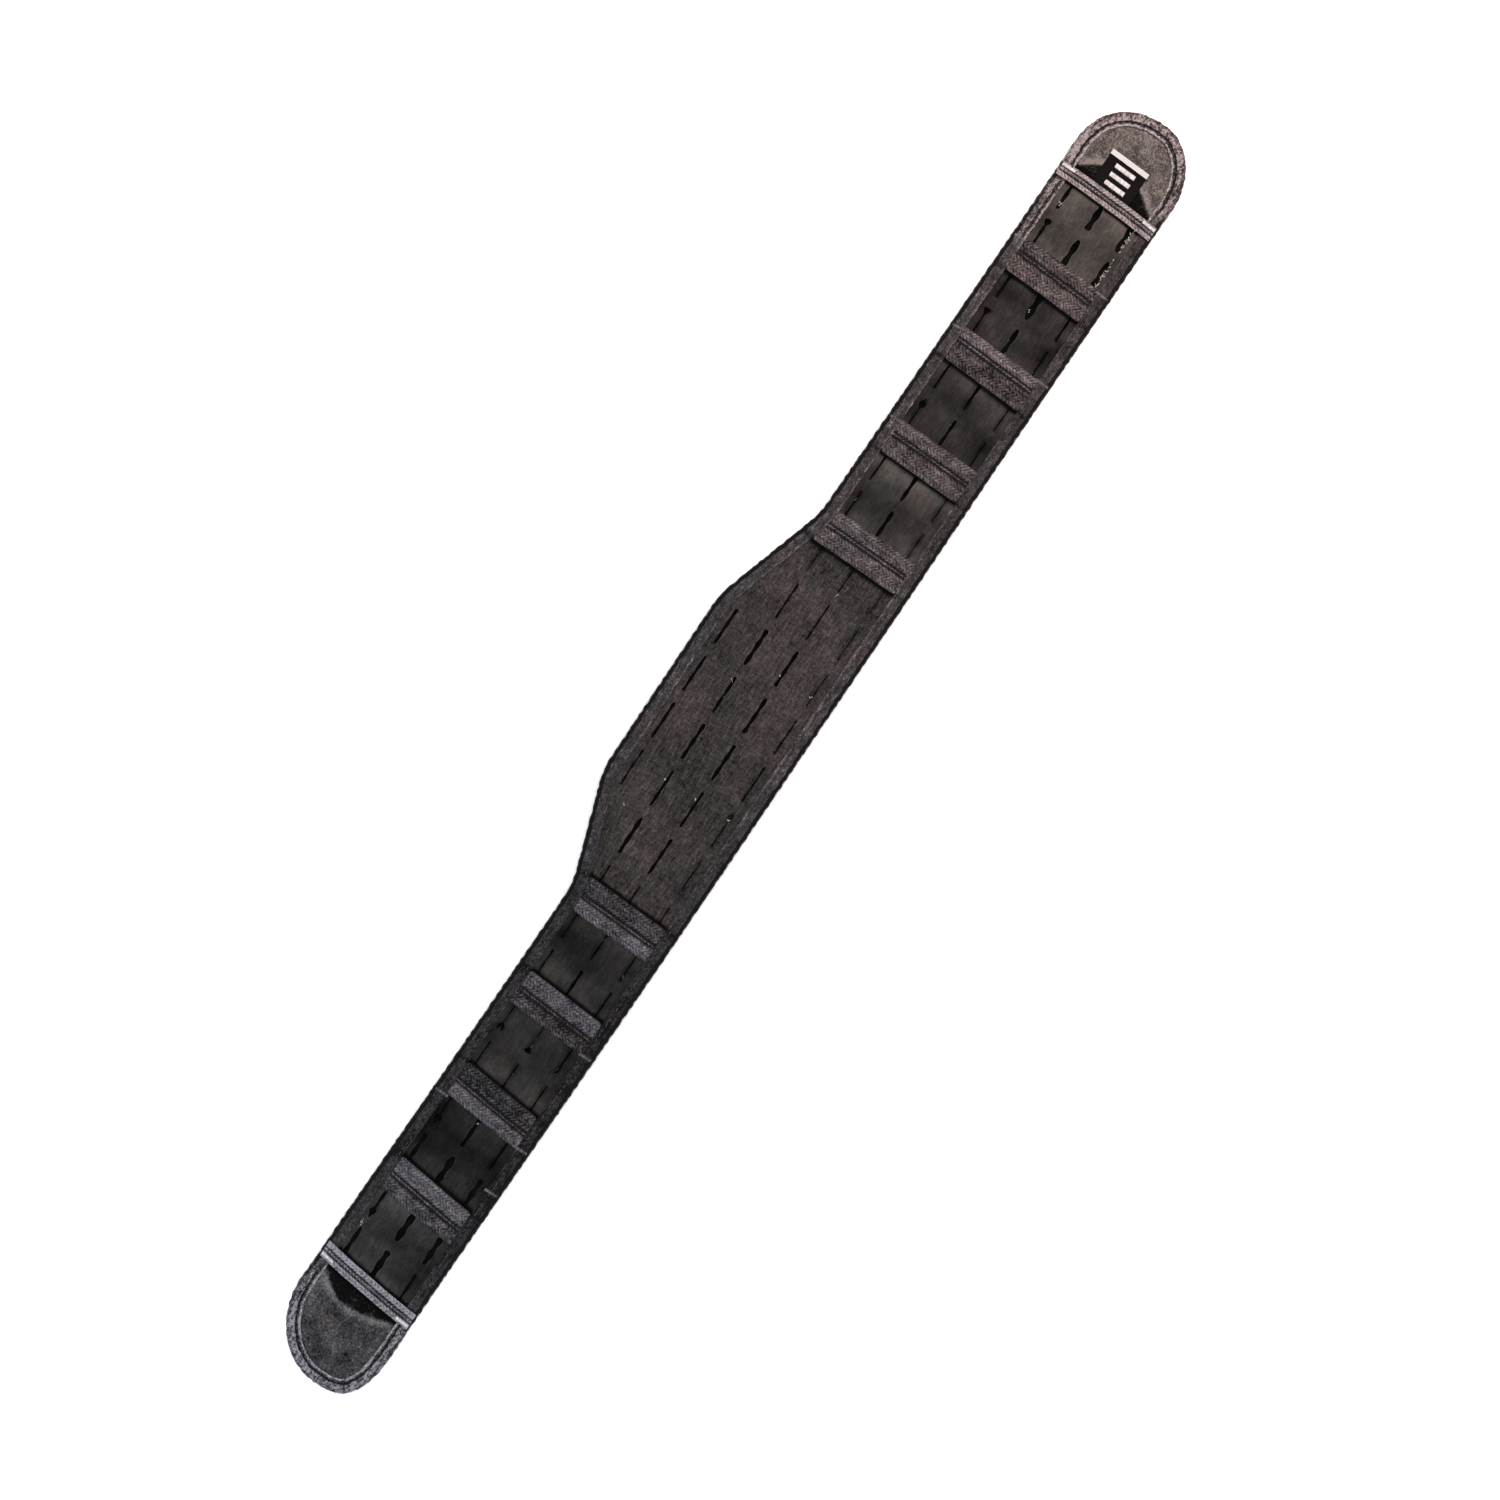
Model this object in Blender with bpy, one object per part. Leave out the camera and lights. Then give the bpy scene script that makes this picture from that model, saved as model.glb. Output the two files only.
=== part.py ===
"""Padded belt for carrying pouches, laid flat and open with its outer side up.

Metres, +Z up. X runs along the belt, +Y towards the taller side of the lumbar part, and the
wearer's side rests at z = 0. A foam pad carries slotted cloth panels, which leave a flat tunnel
for an inner belt. Webbing bands cross the joins of the panels, and a tape is bound round the rim.
"""
import math

import bmesh
import bpy
import numpy as np

# Outline: where the two edges of the narrow belt run, at a few places along it
ARM_EDGES = (
    # x, lower edge y, upper edge y
    (-0.5118, -0.0512, 0.0285),
    (-0.4030, -0.0515, 0.0283),
    (-0.2690, -0.0529, 0.0268),
    (-0.1500, -0.0538, 0.0263),
    (0.1500, -0.0538, 0.0285),
    (0.2680, -0.0533, 0.0278),
    (0.4040, -0.0535, 0.0272),
    (0.5118, -0.0536, 0.0268),
)

# Rounded ends of the outline, each a curve |x|^power + |y|^power = 1 above and below its tip
CAPS = (
    # where the rounding starts, tip x, tip y, power above the tip, power below it
    (-0.4580, -0.5118, -0.0179, 2.0, 3.0),
    (0.4666, 0.5118, -0.0179, 2.3, 2.0),
)

# Lumbar bulge of the upper edge: two slanted flanks with a rounded foot and crest
BULGE_HEIGHT = 0.0259
BULGE_FLANKS = (
    # foot x, crest x
    (-0.1451, -0.0507),
    (0.1752, 0.0720),
)
FLANK_ROUNDING = 0.2

# Section across the belt: heights over the distance from the rim
RIM_INSET = 0.0016
SLOPE_END = 0.0128
SHOULDER = 0.0184
CROWN = 0.0240
FACE_PROFILE = (
    # distance from the rim, height of the panels' outer face
    (0.0, 0.0050),
    (RIM_INSET, 0.0059),
    (SLOPE_END, 0.0122),
    (SHOULDER, 0.0141),
    (CROWN, 0.0150),
)
PAD_PROFILE = (
    # distance from the rim, height of the pad inside the tunnel
    (RIM_INSET, 0.0042),
    (0.0055, 0.0063),
    (SLOPE_END, 0.0080),
)
CAP_PROFILE = (
    # distance from the rim, height of the pad beyond the mouths
    (RIM_INSET, 0.0059),
    (SLOPE_END, 0.0094),
    (SHOULDER, 0.0096),
)
SOLE_PROFILE = (
    # distance from the rim, height of the pad's underside
    (RIM_INSET, 0.0019),
    (0.0101, 0.0016),
    (0.0125, 0.0),
)
GAP = 0.0003

# Mouths of the tunnel, where the lips stand higher and the pad dips and then swells
MOUTH_LIFT = 0.0015
MOUTH_LIFT_LENGTH = 0.060
MOUTH_DIP = 0.0012
MOUTH_DIP_LENGTH = 0.012
MOUTH_DEPTH = 0.018
MOUTH_HALF_WIDTH = 0.034
RIM_BLEND = 0.004
TAPE_BLEND = 0.014

# Spacing of the mesh along the belt and across the pad
CAP_TURNS = (82.0, 72.0, 60.0, 45.0, 30.0, 15.0, 0.0)
NEAR_LIP = (0.009, 0.0045, 0.0006, -0.006, -0.014)
ARM_STEPS = 5
FLANK_STEPS = 10
CREST_STEPS = 3
PAD_STRIPS = 4
SLOPE_STEP = 0.001
SHARP_ANGLE = 40.0

# Panels and their slots
PANEL_THICKNESS = 0.0014
SLOT_ROW_HALF = 0.0028
SLOT_LENGTH = 0.0285
SLOT_PITCH = 0.0381
ARM_SLOT_WIDTH = 0.0036
LUMBAR_SLOT_WIDTH = 0.0026
SLOT_BRIDGE = 0.0082
SLOT_MARGIN = 0.0006
SLOT_WALL = 0.0017
FIRST_LUMBAR_SLOT = -0.1256
LUMBAR_SLOT_COUNT = 8
TOP_ROW_SLOTS = (2, 3, 4, 5)
LONG_COLUMN = 0.012
SLOT_END_STEPS = 4
PANEL_RISE = 0.0002

# Webbing bands
BAND_WIDTH = 0.0254
BAND_THICKNESS = 0.0016
BAND_INSET = 0.0101
BAND_FREE_LIFT = 0.0008
BAND_CORNER = 0.0020
BAND_SEWN_PAST = 0.0015
BAND_GAP = 0.0030
CROSS_BANDS = (
    # name, centre x, lean: how far x grows with y
    ("cross_band_1", -0.3677, 0.110),
    ("cross_band_2", -0.2898, 0.094),
    ("cross_band_3", -0.2139, 0.056),
    ("cross_band_4", -0.1384, 0.030),
    ("cross_band_5", 0.1600, 0.010),
    ("cross_band_6", 0.2345, 0.018),
    ("cross_band_7", 0.3097, 0.042),
    ("cross_band_8", 0.3825, 0.042),
)
END_BAND_WIDTH = 0.0125
END_BAND_OVERHANG = 0.0010
END_BANDS = (
    # name, centre x, lean
    ("end_band_left", -0.4375, 0.125),
    ("end_band_right", 0.4479, 0.045),
)

# Edge tape, folded round the rim
TAPE_THICKNESS = 0.0009
TAPE_REACH = 0.0098
TAPE_LOWER_HEIGHT = 0.00035
TAPE_OUTER_FOLD = (
    # distance from the rim, height
    (0.0004, 0.0058),
    (0.0, 0.0034),
    (0.0005, 0.0012),
)
TAPE_INNER_FOLD = (
    # distance from the rim, height
    (0.0010, 0.0020),
    (0.0010, 0.0057),
)

# Tag at the right mouth
TAG_WIDTH = 0.0300
TAG_CENTRE_Y = -0.0125
TAG_THICKNESS = 0.0010
TAG_PROFILE = (
    # distance beyond the lip, height of the underside
    (-0.0006, 0.0153),
    (0.0040, 0.0146),
    (0.0100, 0.0128),
    (0.0160, 0.0109),
    (0.0200, 0.0101),
    (0.0245, 0.0100),
)

# Colours: red, green and blue, linear
PAD_COLOUR = (0.030, 0.029, 0.028)
PANEL_COLOUR = (0.034, 0.033, 0.031)
LUMBAR_COLOUR = (0.032, 0.030, 0.029)
WEBBING_COLOUR = (0.050, 0.047, 0.049)
TAPE_COLOUR = (0.045, 0.043, 0.045)
TAG_COLOUR = (0.016, 0.016, 0.017)


def smooth(share):
    """Soft step from 0 to 1."""
    share = min(max(share, 0.0), 1.0)
    return share * share * (3.0 - 2.0 * share)


def read_profile(profile, distance):
    """Height at a distance from the rim, on straight runs between the rows of a profile."""
    distances, heights = zip(*profile)
    return float(np.interp(distance, distances, heights))


def arm_edge(x, upper):
    """Edge of the narrow belt, before the bulge and the rounded ends."""
    column = 2 if upper else 1
    return float(np.interp(x, [row[0] for row in ARM_EDGES], [row[column] for row in ARM_EDGES]))


def middle(x):
    """Centre line of the narrow belt."""
    return (arm_edge(x, True) + arm_edge(x, False)) / 2.0


def flank(share):
    """Rise of a flank: a straight slope with a rounded foot and a rounded crest."""
    share = min(max(share, 0.0), 1.0)
    curve = 2.0 * FLANK_ROUNDING * (1.0 - FLANK_ROUNDING)
    if share < FLANK_ROUNDING:
        return share * share / curve
    if share > 1.0 - FLANK_ROUNDING:
        return 1.0 - (1.0 - share) ** 2 / curve
    return (share - FLANK_ROUNDING / 2.0) / (1.0 - FLANK_ROUNDING)


def bulge(x):
    """How far the lumbar part stands above the upper edge of the narrow belt."""
    shares = [(x - foot) / (crest - foot) for foot, crest in BULGE_FLANKS]
    return BULGE_HEIGHT * flank(min(shares))


def edge(x, upper):
    """The belt's upper or lower edge at x, with the bulge and the rounded ends."""
    straight = arm_edge(x, upper) + (bulge(x) if upper else 0.0)
    for start, tip, tip_y, power_above, power_below in CAPS:
        reach = (x - start) / (tip - start)
        if reach > 0.0:
            power = power_above if upper else power_below
            left = max(1.0 - min(reach, 1.0) ** power, 0.0)
            return tip_y + (straight - tip_y) * left ** (1.0 / power)
    return straight


def edge_stretch(x):
    """Length of the upper edge for each unit of x, which turns a distance along y into one square to it."""
    slope = (edge(x + SLOPE_STEP, True) - edge(x - SLOPE_STEP, True)) / (2.0 * SLOPE_STEP)
    return math.hypot(1.0, slope)


def rim_distance(x, y):
    """Distance from the nearer long edge."""
    return min(y - edge(x, False), (edge(x, True) - y) / edge_stretch(x))


def leaning(x, lean, y):
    """A line across the belt that passes the centre line at x and leans with y."""
    return x + lean * (y - middle(x))


def beyond_lip(x, y):
    """How far a point lies outside the nearer mouth: the outer edge of the end band."""
    (_, left, left_lean), (_, right, right_lean) = END_BANDS
    half = END_BAND_WIDTH / 2.0
    return max(leaning(left - half, left_lean, y) - x, x - leaning(right + half, right_lean, y))


def face_height(distance, beyond):
    """Height of the outer face: the panels inside the mouths and the pad's ends outside them."""
    panel = read_profile(FACE_PROFILE, distance)
    lift = MOUTH_LIFT * smooth(1.0 + beyond / MOUTH_LIFT_LENGTH)
    panel += lift * min(max((distance - RIM_INSET) / (CROWN - RIM_INSET), 0.0), 1.0)
    cap = read_profile(CAP_PROFILE, distance)
    return panel + (cap - panel) * smooth(beyond / TAPE_BLEND)


def pad_height(x, y, distance):
    """Height of the pad's outer side, which dips just outside each mouth and then swells."""
    beyond = beyond_lip(x, y)
    across = 1.0 - ((y - middle(x)) / MOUTH_HALF_WIDTH) ** 2
    floor = read_profile(PAD_PROFILE, distance)
    cap = read_profile(CAP_PROFILE, distance)
    dip = MOUTH_DIP * max(across, 0.0)
    if beyond <= 0.0:
        return floor - dip * smooth(1.0 + beyond / MOUTH_DIP_LENGTH)
    length = max(MOUTH_DEPTH * across, RIM_BLEND)
    return floor - dip + (cap - floor + dip) * smooth(beyond / length)


def make_material(name, colour, roughness):
    """Cloth material of one colour."""
    material = bpy.data.materials.new(name)
    material.use_nodes = True
    shader = material.node_tree.nodes["Principled BSDF"]
    shader.inputs["Base Color"].default_value = (*colour, 1.0)
    shader.inputs["Roughness"].default_value = roughness
    shader.inputs["Metallic"].default_value = 0.0
    return material


def make_object(name, bm, material):
    """Object from a bmesh, with its faces out and its sharp edges kept."""
    bmesh.ops.recalc_face_normals(bm, faces=bm.faces[:])
    mesh = bpy.data.meshes.new(name)
    bm.to_mesh(mesh)
    bm.free()
    mesh.materials.append(material)
    mesh.shade_smooth()
    mesh.set_sharp_from_angle(angle=math.radians(SHARP_ANGLE))
    new_object = bpy.data.objects.new(name, mesh)
    bpy.context.collection.objects.link(new_object)
    return new_object


def thicken(bm, thickness):
    """Turns a sheet that follows the top of a piece into a closed piece of the given thickness."""
    extruded = bmesh.ops.extrude_face_region(bm, geom=bm.faces[:], use_keep_orig=True)
    lower = [item for item in extruded["geom"] if isinstance(item, bmesh.types.BMVert)]
    bmesh.ops.translate(bm, vec=(0.0, 0.0, -thickness), verts=lower)


def end_stations(cap, band, side):
    """Places across one end of the belt, from its tip to just inside the mouth: x, and lean."""
    start, tip = cap[:2]
    _, band_x, lean = band
    lip = band_x + side * END_BAND_WIDTH / 2.0
    stations = [(tip, 0.0)]
    for turn in CAP_TURNS:
        x = start + (tip - start) * math.sin(math.radians(turn))
        stations.append((x, lean * ((tip - x) / (tip - lip)) ** 2))
    return stations + [(lip + side * distance, lean) for distance in NEAR_LIP]


def loop_stations():
    """Places across the belt from the left tip to the right tip: x on the centre line, and lean."""
    left = end_stations(CAPS[0], END_BANDS[0], -1.0)
    right = end_stations(CAPS[1], END_BANDS[1], 1.0)[::-1]
    (left_foot, left_crest), (right_foot, right_crest) = BULGE_FLANKS
    corners = (left[-1][0], left_foot, left_crest, right_crest, right_foot, right[0][0])
    steps = (ARM_STEPS, FLANK_STEPS, CREST_STEPS, FLANK_STEPS, ARM_STEPS)
    xs = []
    for before, after, count in zip(corners, corners[1:], steps):
        xs += [before + (after - before) * step / count for step in range(count)]
    return left + [(x, 0.0) for x in xs[1:]] + right


def outline_point(x, lean, upper):
    """Point of the outline on a leaning line across the belt."""
    y = edge(leaning(x, lean, edge(x, upper)), upper)
    y = edge(leaning(x, lean, y), upper)
    return leaning(x, lean, y), edge(leaning(x, lean, y), upper)


def outline_loop():
    """Closed outline, clockwise from the left tip, with the inward direction at each point."""
    stations = loop_stations()
    upper = [outline_point(x, lean, True) for x, lean in stations]
    lower = [outline_point(x, lean, False) for x, lean in stations]
    points = upper + lower[-2:0:-1]
    loop = []
    for index, (x, y) in enumerate(points):
        before = points[index - 1]
        after = points[(index + 1) % len(points)]
        along = (after[0] - before[0], after[1] - before[1])
        length = math.hypot(*along)
        loop.append((x, y, along[1] / length, -along[0] / length))
    return loop


def ring(bm, loop, distance, height):
    """Ring of vertices at a distance inside the outline; height is a function of x, y and distance."""
    vertices = []
    for x, y, inward_x, inward_y in loop:
        place_x = x + inward_x * distance
        place_y = y + inward_y * distance
        vertices.append(bm.verts.new((place_x, place_y, height(place_x, place_y, distance))))
    return vertices


def join_rings(bm, first, second):
    """Faces between two rings of the same length."""
    for index in range(len(first)):
        after = (index + 1) % len(first)
        bm.faces.new((first[index], first[after], second[after], second[index]))


def fill_ring(bm, ring_vertices, strips, height):
    """Fills a ring by rows of points across the belt; height is a function of x and y."""
    last = len(ring_vertices) // 2
    rows = [[ring_vertices[0]]]
    for index in range(1, last):
        top = ring_vertices[index]
        bottom = ring_vertices[-index]
        row = [top]
        for strip in range(1, strips):
            place = top.co.lerp(bottom.co, strip / strips)
            row.append(bm.verts.new((place.x, place.y, height(place.x, place.y))))
        rows.append(row + [bottom])
    rows.append([ring_vertices[last]])
    for before, after in zip(rows, rows[1:]):
        for strip in range(strips):
            corners = [before[min(strip, len(before) - 1)], before[min(strip + 1, len(before) - 1)]]
            corners += [after[min(strip + 1, len(after) - 1)], after[min(strip, len(after) - 1)]]
            bm.faces.new(list(dict.fromkeys(corners)))


def build_pad(material):
    """Foam pad: a flat underside, a thin rim, and ends that swell beyond the mouths."""
    bm = bmesh.new()
    loop = outline_loop()
    distances = [distance for distance, _ in PAD_PROFILE] + [SHOULDER]
    top = [ring(bm, loop, distance, pad_height) for distance in distances]
    for outer, inner in zip(top, top[1:]):
        join_rings(bm, outer, inner)
    fill_ring(bm, top[-1], PAD_STRIPS, lambda x, y: pad_height(x, y, CROWN))
    sole = [
        ring(bm, loop, distance, lambda x, y, inset: read_profile(SOLE_PROFILE, inset))
        for distance, _ in SOLE_PROFILE
    ]
    for outer, inner in zip(sole, sole[1:]):
        join_rings(bm, outer, inner)
    fill_ring(bm, sole[-1], 1, lambda x, y: 0.0)
    join_rings(bm, top[0], sole[0])
    return make_object("base_pad", bm, material)


def tape_section(x, y, inward_x, inward_y):
    """Section of the folded tape at one point of the outline: distance from the rim, and height."""
    def face(distance):
        place_x = x + inward_x * distance
        place_y = y + inward_y * distance
        return face_height(distance, beyond_lip(place_x, place_y)) + GAP

    fold = RIM_INSET + GAP
    return (
        (TAPE_REACH, face(TAPE_REACH) + TAPE_THICKNESS),
        (fold, face(fold) + TAPE_THICKNESS),
        *TAPE_OUTER_FOLD,
        (fold, TAPE_LOWER_HEIGHT),
        (TAPE_REACH, TAPE_LOWER_HEIGHT),
        (TAPE_REACH, TAPE_LOWER_HEIGHT + TAPE_THICKNESS),
        (fold, TAPE_LOWER_HEIGHT + TAPE_THICKNESS),
        *TAPE_INNER_FOLD,
        (fold, face(fold)),
        (TAPE_REACH, face(TAPE_REACH)),
    )


def build_tape(material):
    """Tape bound round the whole rim, folded over the pad and the panels."""
    bm = bmesh.new()
    sections = []
    for x, y, inward_x, inward_y in outline_loop():
        section = [
            bm.verts.new((x + inward_x * distance, y + inward_y * distance, z))
            for distance, z in tape_section(x, y, inward_x, inward_y)
        ]
        sections.append(section)
    for index, section in enumerate(sections):
        after = sections[(index + 1) % len(sections)]
        join_rings(bm, section, after)
    return make_object("edge_binding", bm, material)


ARM_ROWS = (
    # line that the row is measured from, offset from it
    ("low", RIM_INSET),
    ("low", SLOPE_END),
    ("low", SHOULDER),
    ("low", CROWN),
    ("middle", -SLOT_ROW_HALF),
    ("middle", SLOT_ROW_HALF),
    ("high", -CROWN),
    ("high", -SHOULDER),
    ("high", -SLOPE_END),
    ("bulge", 1.0),
)
ARM_SLOT_STRIPS = (1, 4, 7)

# In the lumbar part three more rows lie between the arm's top row and the crest of the bulge
BULGE_SPAN = BULGE_HEIGHT + SLOPE_END - RIM_INSET
LUMBAR_ROWS = ARM_ROWS[:-1] + tuple(
    ("bulge", (BULGE_SPAN - distance + RIM_INSET) / BULGE_SPAN) for distance in (CROWN, SHOULDER, SLOPE_END)
) + ARM_ROWS[-1:]
TOP_SLOT_STRIP = 10


def row_y(x, line, offset):
    """Height along y of a row at x; on the line named bulge the offset is a share of its span."""
    if line == "low":
        return edge(x, False) + offset
    if line == "middle":
        return middle(x) + offset
    if line == "high":
        return arm_edge(x, True) + offset
    start = arm_edge(x, True) - SLOPE_END
    end = edge(x, True) - RIM_INSET * edge_stretch(x)
    return start + (end - start) * offset


def on_face(x, y, lift=0.0):
    """Point of the outer face at x and y, raised by lift."""
    return (x, y, face_height(rim_distance(x, y), min(beyond_lip(x, y), 0.0)) + lift)


def panel_point(x, lean, line, offset):
    """Point where a leaning column meets a row of the panel."""
    y = row_y(x, line, offset)
    y = row_y(leaning(x, lean, y), line, offset)
    return leaning(x, lean, y), y


def slot_outline(left, right, y, width):
    """Rounded slot as eight points, counter-clockwise from the right end's lowest point."""
    radius = width / 2.0
    points = []
    for centre_x, first_angle in ((right - radius, -90.0), (left + radius, 90.0)):
        for step in range(SLOT_END_STEPS):
            angle = math.radians(first_angle + 180.0 * step / (SLOT_END_STEPS - 1))
            points.append((centre_x + radius * math.cos(angle), y + radius * math.sin(angle)))
    return points


def slotted_cell(bm, corners, hole):
    """Faces between a cell's four corners and the slot inside it, both counter-clockwise."""
    low_left, low_right, high_right, high_left = corners
    right_end, left_end = hole[:SLOT_END_STEPS], hole[SLOT_END_STEPS:]
    bm.faces.new((low_left, low_right, right_end[0], left_end[3]))
    bm.faces.new((high_right, high_left, left_end[0], right_end[3]))
    bm.faces.new((low_right, right_end[1], right_end[0]))
    bm.faces.new((low_right, high_right, right_end[2], right_end[1]))
    bm.faces.new((high_right, right_end[3], right_end[2]))
    bm.faces.new((high_left, left_end[1], left_end[0]))
    bm.faces.new((high_left, low_left, left_end[2], left_end[1]))
    bm.faces.new((low_left, left_end[3], left_end[2]))


def panel_rise(columns, x, y):
    """How far a panel stands above the plain face: nothing under its bands, all of it inside its outer slots."""
    xs = [leaning(column_x, lean, y) for column_x, lean in columns]
    rises = [0.0, 0.0] + [PANEL_RISE] * (len(columns) - 4) + [0.0, 0.0]
    share = (rim_distance(x, y) - RIM_INSET) / (CROWN - RIM_INSET)
    return float(np.interp(x, xs, rises)) * min(max(share, 0.0), 1.0)


def upper_strip_cell(bm, columns, index, corners):
    """Cell along the upper edge, which follows the edge with extra points where it is long."""
    low_left, low_right, high_right, high_left = corners
    (left_x, left_lean), (right_x, right_lean) = columns[index], columns[index + 1]
    count = math.ceil((right_x - left_x) / LONG_COLUMN)
    edge_points = [high_left]
    for step in range(1, count):
        share = step / count
        x = left_x + (right_x - left_x) * share
        lean = left_lean + (right_lean - left_lean) * share
        edge_points.append(bm.verts.new(on_face(*panel_point(x, lean, *ARM_ROWS[-1]))))
    for first, second in zip(edge_points, edge_points[1:]):
        bm.faces.new((low_left, second, first))
    bm.faces.new((low_left, low_right, high_right, edge_points[-1]))


def build_panel(name, columns, rows, slots, slot_width, material):
    """Slotted panel: columns of (x, lean), rows of (line, offset), and slots by (column, strip)."""
    bm = bmesh.new()
    grid = []
    for x, lean in columns:
        points = [panel_point(x, lean, *row) for row in rows]
        grid.append([bm.verts.new(on_face(*point, panel_rise(columns, *point))) for point in points])
    for i in range(len(columns) - 1):
        for j in range(len(rows) - 1):
            corners = (grid[i][j], grid[i + 1][j], grid[i + 1][j + 1], grid[i][j + 1])
            if (i, j) in slots:
                y = sum(corner.co.y for corner in corners) / 4.0
                left = (corners[0].co.x + corners[3].co.x) / 2.0 + SLOT_MARGIN
                right = (corners[1].co.x + corners[2].co.x) / 2.0 - SLOT_MARGIN
                outline = slot_outline(left, right, y, slot_width)
                hole = [bm.verts.new(on_face(*point, panel_rise(columns, *point))) for point in outline]
                slotted_cell(bm, corners, hole)
            elif j == len(rows) - 2:
                upper_strip_cell(bm, columns, i, corners)
            else:
                bm.faces.new(corners)
    thicken(bm, PANEL_THICKNESS)
    return make_object(name, bm, material)


def inward(x):
    """Direction along X from a band towards the belt's middle."""
    return 1.0 if x < 0.0 else -1.0


def join_gap(band):
    """The gap between two panels under a band: x of its left and right side, and lean."""
    _, centre, lean = band
    near = centre + inward(centre) * BAND_SEWN_PAST
    far = centre + inward(centre) * (BAND_SEWN_PAST + BAND_GAP)
    return min(near, far), max(near, far), lean


def spread_columns(left, right, inner_xs):
    """Columns from the left end to the right end, each (x, lean), with the lean changing evenly."""
    (left_x, left_lean), (right_x, right_lean) = left, right
    columns = [left]
    for x in inner_xs:
        share = (x - left_x) / (right_x - left_x)
        columns.append((x, left_lean + (right_lean - left_lean) * share))
    return columns + [right]


def build_arm_panel(name, left_band, right_band, material):
    """Panel between two bands, with a bridge at the middle of what shows and a slot on each side of it."""
    end_half = END_BAND_WIDTH / 2.0 - END_BAND_OVERHANG
    half_widths = []
    for band in (left_band, right_band):
        half_widths.append(END_BAND_WIDTH / 2.0 if band in END_BANDS else BAND_WIDTH / 2.0)
    if left_band in END_BANDS:
        left = (left_band[1] - end_half, left_band[2])
    else:
        left = join_gap(left_band)[1:]
    if right_band in END_BANDS:
        right = (right_band[1] + end_half, right_band[2])
    else:
        right = (join_gap(right_band)[0], right_band[2])
    centre = (left_band[1] + half_widths[0] + right_band[1] - half_widths[1]) / 2.0
    half_bridge = SLOT_BRIDGE / 2.0 - SLOT_MARGIN
    reach = half_bridge + SLOT_LENGTH + 2.0 * SLOT_MARGIN
    inner_xs = (
        max(centre - reach, left[0] + SLOT_WALL),
        centre - half_bridge,
        centre + half_bridge,
        min(centre + reach, right[0] - SLOT_WALL),
    )
    columns = spread_columns(left, right, inner_xs)
    slots = {(column, strip) for column in (1, 3) for strip in ARM_SLOT_STRIPS}
    return build_panel(name, columns, ARM_ROWS, slots, ARM_SLOT_WIDTH, material)


def build_lumbar_panel(material):
    """Panel over the tall middle: three rows of slots like the arms', and a short fourth row above."""
    left = join_gap(CROSS_BANDS[3])[1:]
    right_x, _, right_lean = join_gap(CROSS_BANDS[4])
    half_slot = SLOT_LENGTH / 2.0 + SLOT_MARGIN
    inner_xs = []
    for index in range(LUMBAR_SLOT_COUNT):
        centre = FIRST_LUMBAR_SLOT + SLOT_PITCH * index
        inner_xs.append(max(centre - half_slot, left[0] + SLOT_WALL))
        inner_xs.append(min(centre + half_slot, right_x - SLOT_WALL))
    columns = spread_columns(left, (right_x, right_lean), inner_xs)
    slots = {(2 * index + 1, strip) for index in range(LUMBAR_SLOT_COUNT) for strip in ARM_SLOT_STRIPS}
    slots |= {(2 * index + 1, TOP_SLOT_STRIP) for index in TOP_ROW_SLOTS}
    return build_panel("lumbar_panel", columns, LUMBAR_ROWS, slots, LUMBAR_SLOT_WIDTH, material)


def build_band(band, material):
    """Webbing band over a join: sewn at its outer edge and its middle, with the inner edge free."""
    name, centre, lean = band
    bm = bmesh.new()
    half = BAND_WIDTH / 2.0
    ends = [
        (False, distance) for distance in (BAND_INSET, BAND_INSET + BAND_CORNER, SLOPE_END, SHOULDER, CROWN)
    ]
    rows = ends + [(True, distance) for _, distance in ends[::-1]]
    grid = []
    for upper, distance in rows:
        row = []
        for across, lift in ((-half, 0.0), (0.0, 0.0), (half, BAND_FREE_LIFT)):
            narrowing = BAND_CORNER if distance == BAND_INSET and across > 0.0 else 0.0
            x = centre + inward(centre) * (across - narrowing)
            sign = -1.0 if upper else 1.0
            y = edge(x, upper) + sign * distance * (edge_stretch(x) if upper else 1.0)
            x = leaning(x, lean, y)
            y = edge(x, upper) + sign * distance * (edge_stretch(x) if upper else 1.0)
            row.append(bm.verts.new(on_face(x, y, GAP + lift + BAND_THICKNESS)))
        grid.append(row)
    for before, after in zip(grid, grid[1:]):
        for index in range(2):
            bm.faces.new((before[index], before[index + 1], after[index + 1], after[index]))
    thicken(bm, BAND_THICKNESS)
    return make_object(name, bm, material)


def build_end_band(band, material):
    """Narrow band over a mouth, from rim to rim and over the edge tape."""
    name, centre, lean = band
    bm = bmesh.new()
    over_tape = GAP + TAPE_THICKNESS
    rows = (
        # distance from the rim, height above the outer face
        (RIM_INSET, over_tape),
        (TAPE_REACH + GAP, over_tape),
        (SHOULDER, 0.0),
        (CROWN, 0.0),
    )
    rows = [(False, *row) for row in rows] + [(True, *row) for row in rows[::-1]]
    grid = []
    for upper, distance, lift in rows:
        row = []
        for across in (-END_BAND_WIDTH / 2.0, END_BAND_WIDTH / 2.0):
            x = centre + across
            sign = -1.0 if upper else 1.0
            y = edge(x, upper) + sign * distance
            x = leaning(x, lean, y)
            row.append(bm.verts.new(on_face(x, y, GAP + lift + BAND_THICKNESS)))
        grid.append(row)
    for before, after in zip(grid, grid[1:]):
        bm.faces.new((before[0], before[1], after[1], after[0]))
    thicken(bm, BAND_THICKNESS)
    return make_object(name, bm, material)


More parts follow.
